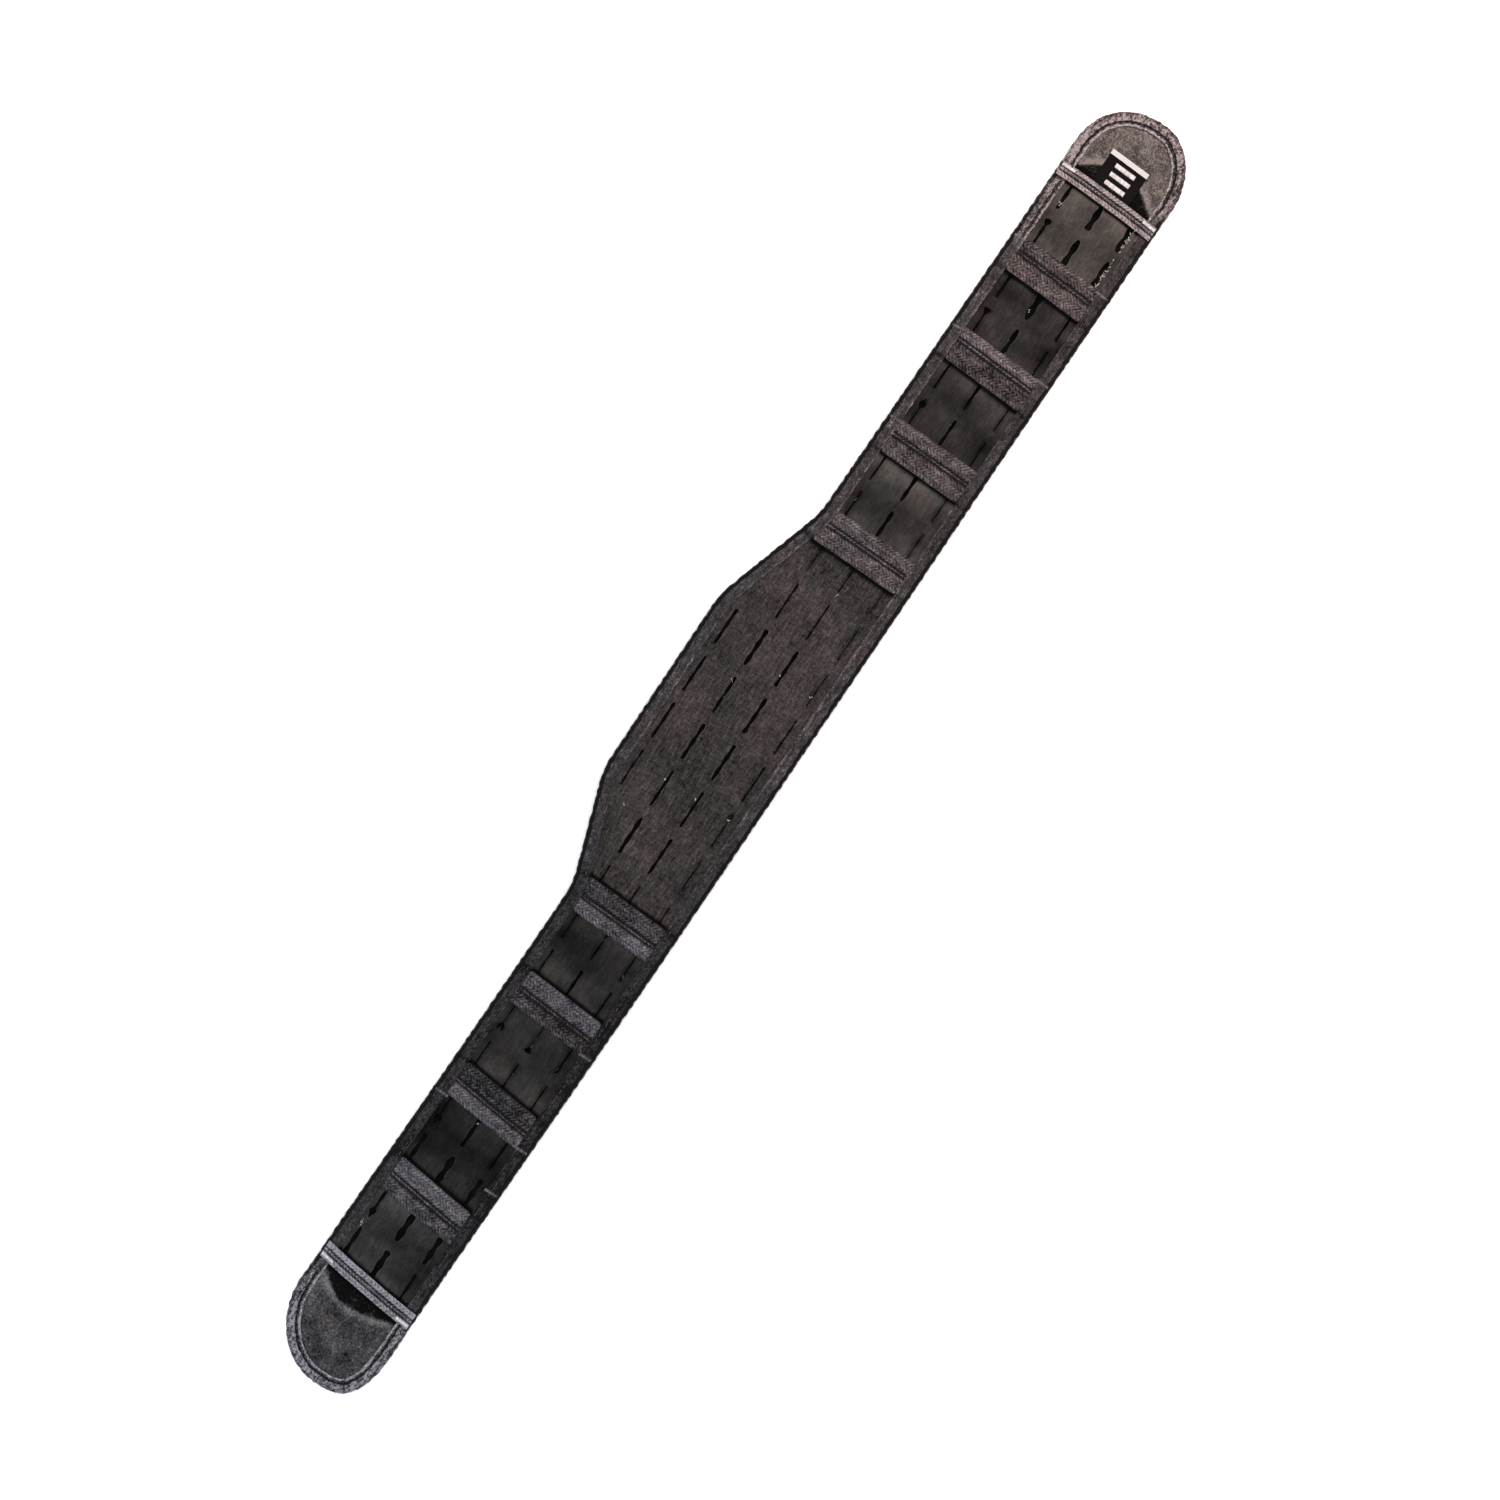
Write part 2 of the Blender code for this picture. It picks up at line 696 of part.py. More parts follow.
def build_tag(material):
    """Cloth tag that comes out under the right end band and lies over the mouth onto the pad."""
    _, centre, lean = END_BANDS[1]
    bm = bmesh.new()
    grid = []
    for beyond, height in TAG_PROFILE:
        row = []
        for side in (-0.5, 0.5):
            y = TAG_CENTRE_Y + side * TAG_WIDTH
            x = leaning(centre + END_BAND_WIDTH / 2.0 + beyond, lean, y)
            row.append(bm.verts.new((x, y, height + TAG_THICKNESS)))
        grid.append(row)
    for before, after in zip(grid, grid[1:]):
        bm.faces.new((before[0], after[0], after[1], before[1]))
    thicken(bm, TAG_THICKNESS)
    return make_object("woven_tag", bm, material)


def build_belt():
    """All the pieces of the belt, each as its own object."""
    build_pad(make_material("pad_cloth", PAD_COLOUR, 0.85))
    build_tape(make_material("edge_tape", TAPE_COLOUR, 0.75))
    panel_cloth = make_material("panel_cloth", PANEL_COLOUR, 0.6)
    build_lumbar_panel(make_material("lumbar_cloth", LUMBAR_COLOUR, 0.8))
    webbing = make_material("webbing", WEBBING_COLOUR, 0.75)
    left_bands = (END_BANDS[0],) + CROSS_BANDS[:4]
    right_bands = CROSS_BANDS[4:] + (END_BANDS[1],)
    pairs = list(zip(left_bands, left_bands[1:])) + list(zip(right_bands, right_bands[1:]))
    for number, (left_band, right_band) in enumerate(pairs, 1):
        build_arm_panel(f"arm_panel_{number}", left_band, right_band, panel_cloth)
    for band in CROSS_BANDS:
        build_band(band, webbing)
    for band in END_BANDS:
        build_end_band(band, webbing)
    build_tag(make_material("tag_cloth", TAG_COLOUR, 0.7))


for old_object in list(bpy.data.objects):
    bpy.data.objects.remove(old_object)
build_belt()
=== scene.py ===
import math
from collections import namedtuple

import bmesh
import bpy
import numpy as np
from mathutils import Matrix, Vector
from mathutils.geometry import delaunay_2d_cdt


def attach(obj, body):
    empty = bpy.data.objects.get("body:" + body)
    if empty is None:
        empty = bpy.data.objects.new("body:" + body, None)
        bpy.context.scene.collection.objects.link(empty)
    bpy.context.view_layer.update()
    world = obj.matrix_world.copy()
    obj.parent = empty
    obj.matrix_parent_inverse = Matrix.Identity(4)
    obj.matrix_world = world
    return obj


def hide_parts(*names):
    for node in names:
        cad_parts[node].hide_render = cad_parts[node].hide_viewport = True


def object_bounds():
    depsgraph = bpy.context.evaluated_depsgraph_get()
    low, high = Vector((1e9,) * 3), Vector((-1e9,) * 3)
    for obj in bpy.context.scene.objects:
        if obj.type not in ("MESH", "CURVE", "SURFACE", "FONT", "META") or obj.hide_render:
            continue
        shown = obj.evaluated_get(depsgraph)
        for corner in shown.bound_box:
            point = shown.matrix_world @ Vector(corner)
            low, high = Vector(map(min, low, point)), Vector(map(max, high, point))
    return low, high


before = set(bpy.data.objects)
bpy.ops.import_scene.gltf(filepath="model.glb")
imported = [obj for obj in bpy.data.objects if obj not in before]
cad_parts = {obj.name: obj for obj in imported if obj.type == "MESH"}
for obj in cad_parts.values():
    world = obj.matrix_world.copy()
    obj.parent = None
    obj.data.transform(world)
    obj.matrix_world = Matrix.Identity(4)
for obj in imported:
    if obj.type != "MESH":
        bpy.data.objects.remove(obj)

# Looks of a padded belt that lies flat with its outer side up: cloth panels with slots, webbing bands,
# a bound edge and soft padded ends. Metres, X along the belt, +Y towards the taller side.

CAD_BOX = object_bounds()

# Outline, as in the solids
EDGE_X = (-0.5118, -0.4030, -0.2690, -0.1500, 0.1500, 0.2680, 0.4040, 0.5118)
EDGE_LOWER = (-0.0512, -0.0515, -0.0529, -0.0538, -0.0538, -0.0533, -0.0535, -0.0536)
EDGE_UPPER = (0.0285, 0.0283, 0.0268, 0.0263, 0.0285, 0.0278, 0.0272, 0.0268)
CAPS = (
    # where the rounding starts, tip x, tip y, power above the tip, power below it
    (-0.4580, -0.5118, -0.0179, 2.0, 3.0),
    (0.4666, 0.5118, -0.0179, 2.3, 2.0),
)
BULGE_HEIGHT = 0.0259
BULGE_FLANKS = ((-0.1451, -0.0507), (0.1752, 0.0720))
FLANK_ROUNDING = 0.2

# Section across the belt: rows of distance from the rim and height
RIM_INSET = 0.0016
SLOPE_END = 0.0128
SHOULDER = 0.0184
CROWN = 0.0240
FACE_PROFILE = ((0.0, 0.0050), (RIM_INSET, 0.0059), (SLOPE_END, 0.0122), (SHOULDER, 0.0141), (CROWN, 0.0150))
PAD_PROFILE = ((RIM_INSET, 0.0042), (0.0055, 0.0063), (SLOPE_END, 0.0080))
CAP_PROFILE = ((RIM_INSET, 0.0059), (SLOPE_END, 0.0094), (SHOULDER, 0.0096))
SOLE_PROFILE = ((RIM_INSET, 0.0019), (0.0101, 0.0016), (0.0125, 0.0))
PROFILE_SOFTENING = 0.0012
GAP = 0.0003
TAPE_BLEND = 0.014

# Mouths of the tunnel; pairs hold the left and the right one
MOUTH_LIFT = 0.0015
MOUTH_LIFT_LENGTH = 0.060
MOUTH_DIP = 0.0012
MOUTH_DIP_LENGTH = 0.012
MOUTH_DEPTHS = (0.0145, 0.018)
MOUTH_HALF_WIDTH = 0.034
MOUTH_APEX = (0.009, 0.0)
MOUTH_POWER = 1.7
MOUTH_EDGE = 0.004
# Paleness of the lining inside the mouths: darker cloth with painted shade
MOUTH_LINING_PALENESS = 0.56
CREST_HEIGHT = 0.0011
CREST_HALF = 0.0026
CREST_SHIFT = 0.0022
# Painted highlight on the crest just outside each mouth
CREST_HIGHLIGHT = 0.34
# Painted light on the caps: the right one paler than the left
CAP_PAINTED_LIGHT = (-0.06, 0.11)

# Panels and slots
PANEL_THICKNESS = 0.0014
PANEL_RISE = 0.0002
ARM_FLAT = (0.076, 0.079)
LUMBAR_FLAT = (0.2960, 0.1060)
LUMBAR_AREA = 0.0262
SLOT_FROM_RIM = 0.0156
ROW_SHIFT = ((-0.45, 0.15, 0.30), (0.0013, 0.0010, 0.0))
SLOT_LENGTH = 0.0285
SLOT_PITCH = 0.0381
ARM_SLOT_WIDTH = 0.0036
LUMBAR_SLOT_WIDTH = 0.0026
SLOT_BRIDGE = 0.0082
SLOT_MARGIN = 0.0006
SLOT_WALL = 0.0017
FIRST_LUMBAR_SLOT = -0.1256
ARM_OPENNESS = (
    # how far each slot gapes: lower row left and right, middle row, upper row
    (0.5, 1.0, 1.15, 1.2, 0.8, 0.6),
    (0.9, 0.55, 1.15, 0.75, 0.8, 0.3),
    (0.3, 0.4, 0.3, 0.15, 0.25, 0.2),
    (0.4, 0.25, 0.6, 0.35, 0.3, 0.25),
    (0.2, 0.2, 0.7, 0.7, 0.35, 0.4),
    (0.2, 0.25, 0.6, 0.6, 0.25, 0.45),
    (0.4, 0.45, 0.85, 1.2, 0.35, 0.6),
    (1.0, 1.0, 1.1, 1.15, 0.6, 0.7),
)
LUMBAR_OPENNESS = (
    # the same for the lumbar panel, row by row from below, left to right
    (0.35, 0.3, 0.3, 0.45, 0.45, 0.3, 0.25, 0.2),
    (0.4, 0.8, 0.7, 1.0, 1.0, 0.9, 0.4, 0.3),
    (0.4, 1.1, 0.8, 1.0, 0.8, 1.1, 0.5, 0.2),
    (0.0, 0.0, 0.45, 0.8, 0.8, 0.9, 0.0, 0.0),
)
SLOT_HOLES = (
    # round openings near the end of slots that are nearly shut: x, slot row from below
    (-0.3967, 3), (-0.3198, 3), (-0.2443, 3), (-0.2463, 2), (0.2635, 3), (0.3404, 3), (0.4125, 3),
)
HOLE_RADIUS = 0.0024
SLOT_UNEVEN = 0.2
SLOT_UNEVEN_PITCH = 0.011
SLOT_SPREAD = 0.0060
SLOT_DIP = 0.0002
# Painted shade along the slots that are nearly shut
SLOT_SHADE = 0.36
SLOT_SHADE_WIDTH = 0.0018
LIP_LIFT = 0.0004
LIP_LIFT_RANGE = (-0.5, 1.0)
LIP_REACH = 0.0030
LIP_LIFT_RISE = 4.0
# Paler lips of open slots: fraying, and a painted highlight
LIP_FRAY_AND_HIGHLIGHT = 0.16
LIP_FRAY_AND_HIGHLIGHT_WIDTH = 0.0013
ROW_PUFF = 0.0004
# Paleness of each arm panel from left to right, partly the cloth's own and partly painted sheen
PANEL_PALENESS = (0.20, -0.16, 0.01, 0.055, 0.31, 0.15, 0.02, 0.38)
# Painted shading across each arm panel: paler at its outer and inner ends, darker in the middle
OUTER_MIDDLE_INNER_SHADING = (0.25, -0.20, 0.15)
LUMBAR_WEAR = -0.05
# Painted shadow in the crease beside each band's inner edge, and under that edge
CREASE_SHADE = 1.6
CREASE_WIDTH = 0.0016
CREASE_UNDER = 0.0060
CREASE_DEPTH = 0.0006

# Webbing bands; across them, the outer edge is negative and the edge nearer the belt's middle positive
BAND_WIDTH = 0.0254
BAND_THICKNESS = 0.0012
BAND_INSET = 0.0101
BAND_CORNER = 0.0020
BAND_FREE_LIFT = 0.0020
BAND_FREE_POWER = 1.6
BAND_WAVE = (0.75, 0.4)
BAND_WAVE_TURNS = (1.7, 9.0)
BAND_SEWN_PAST = 0.0015
BAND_GAP = 0.0030
JOIN_SAG = 0.0003
SEWN_PUFF = 0.0003
RIB_PITCH = 0.0027
RIB_HEIGHT = 0.00008
SEAM_ROWS_APART = 0.0026
SEAM_GROOVE = 0.0006
SEAM_GROOVE_HALF = 0.0007
# Painted highlight on the ridge between a band's two seam furrows, and painted shade in the furrows
SEAM_RIDGE_HIGHLIGHT = 0.15
FURROW_SHADE = 0.8
END_BAND_OVERHANG = 0.0010
END_BAND_STEP = 0.004
END_BAND_WEAR = (0.47, 0.47)
# How much paler the end bands are near the rim
END_BAND_RIM_PALENESS = 0.25
BAND_ROWS = (
    # centre x, lean, distance of the middle seam towards the outer edge, paleness of the left and the right
    # half
    (-0.3677, 0.110, 0.0010, (-0.04, 0.12)),
    (-0.2898, 0.094, 0.0012, (0.12, -0.15)),
    (-0.2139, 0.056, 0.0014, (-0.10, 0.07)),
    (-0.1384, 0.030, 0.0012, (0.14, -0.08)),
    (0.1600, 0.010, 0.0010, (0.06, 0.09)),
    (0.2345, 0.018, 0.0016, (0.02, 0.07)),
    (0.3097, 0.042, 0.0034, (-0.10, 0.16)),
    (0.3825, 0.042, 0.0016, (0.03, -0.04)),
)
Band = namedtuple("Band", "name width centre lean seam wear")
CROSS_BANDS = [Band(f"cross_band_{number}", BAND_WIDTH, *row) for number, row in enumerate(BAND_ROWS, 1)]
END_BANDS = [
    Band("end_band_left", 0.0117, -0.4373, 0.120, 0.0, END_BAND_WEAR),
    Band("end_band_right", 0.0100, 0.4474, 0.040, 0.0, END_BAND_WEAR),
]

# Edge tape
TAPE_THICKNESS = 0.0009
TAPE_REACH = 0.0098
TAPE_MIDDLE = 0.0060
TAPE_LOWER_HEIGHT = 0.00035
TAPE_FOLD_INSIDE = ((0.0012, 0.0022), (0.0012, 0.0056))
TAPE_SEAM = 0.0072
TAPE_SEAM_HALF = 0.0009
TAPE_SEAM_DEPTH = (0.00030, 0.00012)
TAPE_PUFF_HALF = 0.0024
TAPE_PUFF = (0.00025, 0.00010)
CAP_SEAM = 0.0090
SCALLOP_DEPTH = 0.0002
SCALLOPS = (
    # pitch of a wave along the rim, then pitch and size of its drift
    (0.0062, 0.047, 2.3), (0.0097, 0.031, 1.7),
)
RIM_SWELL = 0.0005
RIM_SWELL_LENGTH = 0.03
HEM_WANDER = 0.0003
HEM_PITCHES = (0.0313, 0.0117)
TAPE_WEAR = (
    # x, paleness along the upper edge, paleness along the lower edge
    (-0.512, 0.40, 0.40), (-0.445, 0.26, 0.30), (-0.420, -0.12, -0.22), (-0.350, -0.17, -0.33),
    (-0.200, -0.15, -0.27), (-0.120, -0.02, -0.05), (0.0, 0.03, 0.06), (0.150, 0.04, 0.05),
    (0.250, 0.04, -0.04), (0.384, 0.06, -0.05), (0.396, 0.24, -0.05), (0.440, 0.28, 0.0),
    (0.4666, 0.42, 0.34), (0.512, 0.42, 0.40),
)
# Painted shadow on the tape beside the bands' inner edges
TAPE_CREASE_SHADE = 0.35

# Tag
TAG_WIDTH = 0.0300
TAG_CENTRE_Y = -0.0125
TAG_THICKNESS = 0.0010
TAG_PROFILE = (
    # distance beyond the lip, height of the underside
    (-0.0006, 0.0153), (0.0040, 0.0146), (0.0100, 0.0128), (0.0160, 0.0109), (0.0200, 0.0101),
    (0.0262, 0.0100),
)
TAG_WAVE = 0.00012
TAG_WAVE_PITCHES = (0.0061, 0.0053)
TAG_WAVE_START = 0.008
TAG_LINE_START = 0.0226
TAG_BARS = (0.0046, 0.0112, 0.0180)
TAG_BAR_SPAN = (-0.0206, -0.0051)
TAG_BAR_PITCH = 0.00044
TAG_BAR_WIDTH = 0.0034

# Threads
THREAD_SIDES = 6
THREAD_SECTIONS = (
    # share of the length, share of the radius
    (0.0, 0.35), (0.14, 0.92), (0.5, 1.0), (0.86, 0.92), (1.0, 0.35),
)
THREAD_TWIST = 0.0007
THREAD_LIFT = 0.00005
# The grey, pale and white threads of the seams are painted pale for the sheen of their polyester; the white
# bars of the tag are its print.
THREADS = {
    # dark colour, bright colour, roughness
    "dark_thread": ((0.02, 0.019, 0.02), (0.075, 0.071, 0.075), 0.6),
    "pale_thread": ((0.04, 0.038, 0.04), (0.16, 0.152, 0.16), 0.6),
    "grey_thread": ((0.12, 0.117, 0.12), (0.42, 0.41, 0.42), 0.55),
    "white_thread": ((0.35, 0.34, 0.36), (0.62, 0.61, 0.62), 0.45),
    "black_thread": ((0.003, 0.003, 0.003), (0.020, 0.019, 0.020), 0.6),
    "pale_fibre": ((0.40, 0.39, 0.36), (0.75, 0.74, 0.70), 0.8),
    "grey_fibre": ((0.04, 0.038, 0.037), (0.18, 0.174, 0.168), 0.8),
}
TAPE_STITCH = (0.0042, 0.0030)
TAPE_STITCH_DIP = 0.00015
BAND_STITCH = (0.0026, 0.0022)
BAND_STITCH_INSET = 0.0008
BAND_STITCH_LIFT = 0.0001
STITCH_UNEVEN = 0.04
STITCH_WANDER = 0.00006
BARTACKS = (
    # x, whether at the upper edge
    (-0.3393, False), (-0.3043, False), (-0.2281, False), (-0.3016, True),
    (0.2460, True), (0.3208, True), (0.3943, True), (0.3208, False), (0.3923, False),
)
BARTACK_LENGTH = 0.0095
BARTACK_FROM_RIM = 0.0022
BARTACK_PITCH = 0.00055
BARTACK_SIDES = (-0.0011, 0.0011)
BARTACK_WANDER = 0.0001
CORNER_BARTACKS = (-0.0036, -0.0028)
SLOT_FIBRES = 50
SLOT_FIBRE_LENGTH = (0.0008, 0.0030)
SLOT_FIBRE_TURN = 0.25
SLOT_FIBRE_RISE = 0.05
LINT = (
    # x, y, spread along x, number of fibres
    (-0.0426, 0.0138, 0.0005, 4), (-0.0426, -0.0105, 0.0005, 5), (-0.0426, -0.0368, 0.0005, 4),
    (-0.0723, 0.0273, 0.0005, 3), (0.0578, -0.0361, 0.0005, 4), (0.0585, -0.0105, 0.0005, 3),
    (0.0376, 0.0138, 0.0005, 3), (0.1240, -0.0118, 0.0005, 3), (-0.3060, -0.0118, 0.0005, 3),
    (-0.4060, 0.0155, 0.0022, 9), (0.4277, 0.0110, 0.0010, 7), (0.4035, -0.0398, 0.0045, 28),
    (0.4310, -0.0400, 0.0045, 26), (0.3560, -0.0118, 0.0006, 4),
)
LINT_SPREAD = 0.0004
LINT_TURN = 0.5
LINT_LENGTH = (0.0006, 0.0016)
LINT_RADIUS = 0.00012
LINT_LIFT = PANEL_RISE + ROW_PUFF + 0.0001

# Surface of every cloth
CLOTH_ROUGHNESS = 0.9
SHEEN_ROUGHNESS = 0.4
CLOTH_SPECULAR = 0.05
NOISE_ROUGHNESS = 0.6
TINT_STOPS = (0.40, 0.60)

# Weave of the webbing and of the tape
WEBBING_CHEVRON = 0.0042
WEBBING_PITCH = 0.0028
TAPE_RIB_PITCH = 0.0011
# Painted shade over the tape's fold and in the furrow at its seam, and a painted highlight along its hem
TAPE_FOLD = (0.0076, 0.0088)
TAPE_FURROW = 0.0032
TAPE_FURROW_HALF = 0.0013
TAPE_HEM = (0.0006, 0.0018)
TAPE_HEM_HIGHLIGHT = 0.16

# Soft waves in the cloth
RIPPLES = (
    # wavelength, direction in degrees, height, phase
    (0.046, 20.0, 0.00020, 0.3),
    (0.033, 115.0, 0.00015, 1.9),
    (0.021, 68.0, 0.00010, 4.1),
    (0.0125, 150.0, 0.00005, 2.2),
)
RIPPLE_FADE = 0.012

# Fineness of the meshes
SLOPE_STEP = 0.001
OUTLINE_STEP = 0.0015
CAP_POINTS = 200
SIDE_POINTS = 900
CLOTH_STEP = 0.0016
FILL_STRETCHES = (
    # left end, right end, step: fine on the soft ends, wider inside the tunnel
    (-0.512, -0.430, CLOTH_STEP), (-0.430, 0.440, 0.0030), (0.440, 0.512, CLOTH_STEP),
)
FILL_CLEARANCE = 0.7
PAD_RINGS = (RIM_INSET, 0.0036, 0.0055, 0.0074, 0.0092, 0.0110, SLOPE_END, 0.0146, 0.0164, SHOULDER)
FILL_INSIDE = 1
TAPE_TOP_STEPS = 15
TAPE_FOLD_STEPS = 6
CROSS_BAND_GRID = (61, 72)
END_BAND_GRID = (30, 92)
TAG_GRID = (50, 46)
SHARP_ANGLE = 50.0
OUTLINE_BATCH = 1000
LEANING_ROUNDS = 3

# Cloth simulation of the pad's ends
SWELL_QUALITY = 6
SWELL_MASS = 0.002
SWELL_SHRINK = -0.02
SWELL_BENDING = 0.5
SWELL_PRESSURE = 1.0
SWELL_FRAMES = 20
SWELL_LIMIT = 0.0025
SWELL_MARGIN = 0.006

# Camera: straight above, turned as the photograph is
VIEW_CENTRE = (0.0060, -0.0222)
VIEW_HEIGHT = 0.010
VIEW_WIDTH = 1.0115
VIEW_RIGHT = (0.5613, -0.8276)
LENS = 180.0
SENSOR = 36.0

# Lights and floor
FLOOR_HALF = 6.0
FLOOR_HEIGHT = -0.0005
WORLD_COLOUR = (0.92, 0.93, 1.0, 1.0)
WORLD_STRENGTH = 0.25
LIGHTS = (
    # name, place, what it points at, size, power in watts, colour
    ("overhead", (0.3, 0.3, 3.2), (0.1, 0.0, 0.0), 2.0, 82.0, (1.0, 0.98, 0.97)),
    ("right_tip", (0.86, -0.02, 0.42), (0.48, -0.02, 0.0), 0.22, 4.5, (1.0, 0.80, 0.70)),
    ("left_tip", (-0.86, -0.02, 0.42), (-0.48, -0.02, 0.0), 0.22, 2.2, (0.86, 0.92, 1.0)),
    ("right_side", (1.5, -0.2, 1.5), (0.10, 0.0, 0.0), 0.5, 14.0, (1.0, 0.90, 0.84)),
    ("left_side", (-1.5, -0.2, 1.5), (-0.10, 0.0, 0.0), 0.5, 6.0, (0.92, 0.96, 1.0)),
)

# Filled while the pieces are built: both lips of each slot, and the paths of the bands' seams
lips_found = []
band_seams = []

random = np.random.default_rng(11)


def clamp(value):
    """Value kept between 0 and 1."""
    return np.clip(value, 0.0, 1.0)


def soft_step(share):
    """Soft step from 0 to 1."""
    share = clamp(share)
    return share * share * (3.0 - 2.0 * share)


def hump(away, half):
    """Soft hump, 1 at its middle and falling off over about its half width."""
    return np.exp(-((away / half) ** 2))


def inward(x):
    """Direction along X from a place towards the belt's middle."""
    return 1.0 if x < 0.0 else -1.0


def leaning(x, lean, y):
    """A line across the belt that passes the centre line at x and leans with y."""
    return x + lean * (y - middle(x))


def read_profile(profile, distance):
    """Height at a distance from the rim, with the corners of the profile softened."""
    distances, heights = zip(*profile)
    shifts = (-PROFILE_SOFTENING, 0.0, 0.0, PROFILE_SOFTENING)
    return sum(np.interp(distance + shift, distances, heights) for shift in shifts) / len(shifts)


def arm_edge(x, upper):
    """Edge of the narrow belt, before the bulge and the rounded ends."""
    return np.interp(x, EDGE_X, EDGE_UPPER if upper else EDGE_LOWER)


def middle(x):
    """Centre line of the narrow belt."""
    return (arm_edge(x, True) + arm_edge(x, False)) / 2.0


def bulge(x):
    """How far the lumbar part stands above the upper edge of the narrow belt."""
    share = clamp(np.minimum(*[(x - foot) / (crest - foot) for foot, crest in BULGE_FLANKS]))
    curve = 2.0 * FLANK_ROUNDING * (1.0 - FLANK_ROUNDING)
    rise = (share - FLANK_ROUNDING / 2.0) / (1.0 - FLANK_ROUNDING)
    rise = np.where(share < FLANK_ROUNDING, share * share / curve, rise)
    rise = np.where(share > 1.0 - FLANK_ROUNDING, 1.0 - (1.0 - share) ** 2 / curve, rise)
    return BULGE_HEIGHT * rise


def edge(x, upper):
    """The belt's upper or lower edge at x, with the bulge and the rounded ends."""
    line = arm_edge(x, upper) + (bulge(x) if upper else 0.0)
    for start, tip, tip_y, power_above, power_below in CAPS:
        power = power_above if upper else power_below
        reach = clamp((x - start) / (tip - start))
        line = tip_y + (line - tip_y) * (1.0 - reach**power) ** (1.0 / power)
    return line


def edge_stretch(x):
    """Length of the upper edge for each unit of x."""
    return np.hypot(1.0, (edge(x + SLOPE_STEP, True) - edge(x - SLOPE_STEP, True)) / (2.0 * SLOPE_STEP))


def rim_distance(x, y):
    """Distance from the nearer long edge."""
    return np.minimum(y - edge(x, False), (edge(x, True) - y) / edge_stretch(x))


def beyond_lip(x, y):
    """How far a point lies outside the nearer mouth."""
    left, right = END_BANDS
    beyond_left = leaning(left.centre - left.width / 2.0, left.lean, y) - x
    return np.maximum(beyond_left, x - leaning(right.centre + right.width / 2.0, right.lean, y))


def ripple(x, y, distance):
    """Soft waves that all the layers share, none at the rim."""
    total = 0.0
    for wavelength, direction, height, phase in RIPPLES:
        angle = math.radians(direction)
        along = x * math.cos(angle) + y * math.sin(angle)
        total = total + height * np.sin(2.0 * math.pi * along / wavelength + phase)
    return total * clamp(distance / RIPPLE_FADE)


def face_height(x, y, distance, beyond):
    """Height of the outer face: the panels inside the mouths and the pad's ends outside them."""
    panel = read_profile(FACE_PROFILE, distance)
    lift = MOUTH_LIFT * soft_step(1.0 + beyond / MOUTH_LIFT_LENGTH)
    panel = panel + lift * clamp((distance - RIM_INSET) / (CROWN - RIM_INSET))
    cap = read_profile(CAP_PROFILE, distance)
    return panel + (cap - panel) * soft_step(beyond / TAPE_BLEND) + ripple(x, y, distance)


def on_face(x, y):
    """Height of the panels' outer face."""
    return face_height(x, y, rim_distance(x, y), np.minimum(beyond_lip(x, y), 0.0))


def tape_top(x, y, distance):
    """Height of the edge tape's outer side at a distance from the rim."""
    return face_height(x, y, distance, beyond_lip(x, y)) + GAP + TAPE_THICKNESS


def mouth(x, y):
    """Place across a mouth, 1 where it is deepest and 0 or less past its ends, and its depth there."""
    apex = np.where(x < 0.0, *MOUTH_APEX)
    away = y - middle(x) - apex
    across = 1.0 - np.abs(away / (MOUTH_HALF_WIDTH - apex * np.sign(away))) ** MOUTH_POWER
    return across, np.maximum(np.where(x < 0.0, *MOUTH_DEPTHS) * across, MOUTH_EDGE)


def pad_height(x, y, distance):
    """Height of the pad's outer side, which dips just outside each mouth and then swells."""
    beyond = beyond_lip(x, y)
    across, depth = mouth(x, y)
    dip = MOUTH_DIP * np.maximum(across, 0.0) * soft_step(1.0 + beyond / MOUTH_DIP_LENGTH)
    floor = read_profile(PAD_PROFILE, distance) - dip
    cap = read_profile(CAP_PROFILE, distance)
    crest = CREST_HEIGHT * hump(beyond - depth, CREST_HALF) * clamp(2.0 * across)
    waves = ripple(x, y, distance) * (beyond > 0.0)
    return floor + (cap - floor) * soft_step(beyond / depth) + crest + waves


def pad_cover(x, y):
    """Paleness of the pad's cover: none on the dark lining of the tunnel, which is darker cloth with painted
    shade, most on the crest at a mouth, a painted highlight; the right end is painted paler than the left
    for the brighter light on it.
    """
    across, depth = mouth(x, y)
    beyond = beyond_lip(x, y)
    cover = (1.0 + np.where(x < 0.0, *CAP_PAINTED_LIGHT)) * soft_step((beyond - depth) / CREST_HALF + 1.0)
    cover = np.maximum(cover, MOUTH_LINING_PALENESS * soft_step(beyond / MOUTH_EDGE))
    return cover + CREST_HIGHLIGHT * hump(beyond - depth - CREST_SHIFT, CREST_HALF) * clamp(2.0 * across)


def beside_bands(x, y, under):
    """From 0 to 1: how deep a point lies in the crease at a band's inner edge, or under that edge; it also
    masks the painted shadow there.
    """
    deepest = 0.0
    for band in CROSS_BANDS + END_BANDS:
        side = inward(band.centre)
        away = side * (x - leaning(band.centre + side * band.width / 2.0, band.lean, y))
        away = np.where(away < 0.0, np.maximum(-away - under, 0.0), away)
        deepest = np.maximum(deepest, hump(away, CREASE_WIDTH))
    return deepest


def as_points(*grids):
    """Rows of three values from three grids."""
    return np.stack(np.broadcast_arrays(*grids), axis=-1).reshape(-1, 3)


def grid_numbers(rows, columns, first=0):
    """Grid of vertex numbers, row after row."""
    return first + np.arange(rows * columns).reshape(rows, columns)


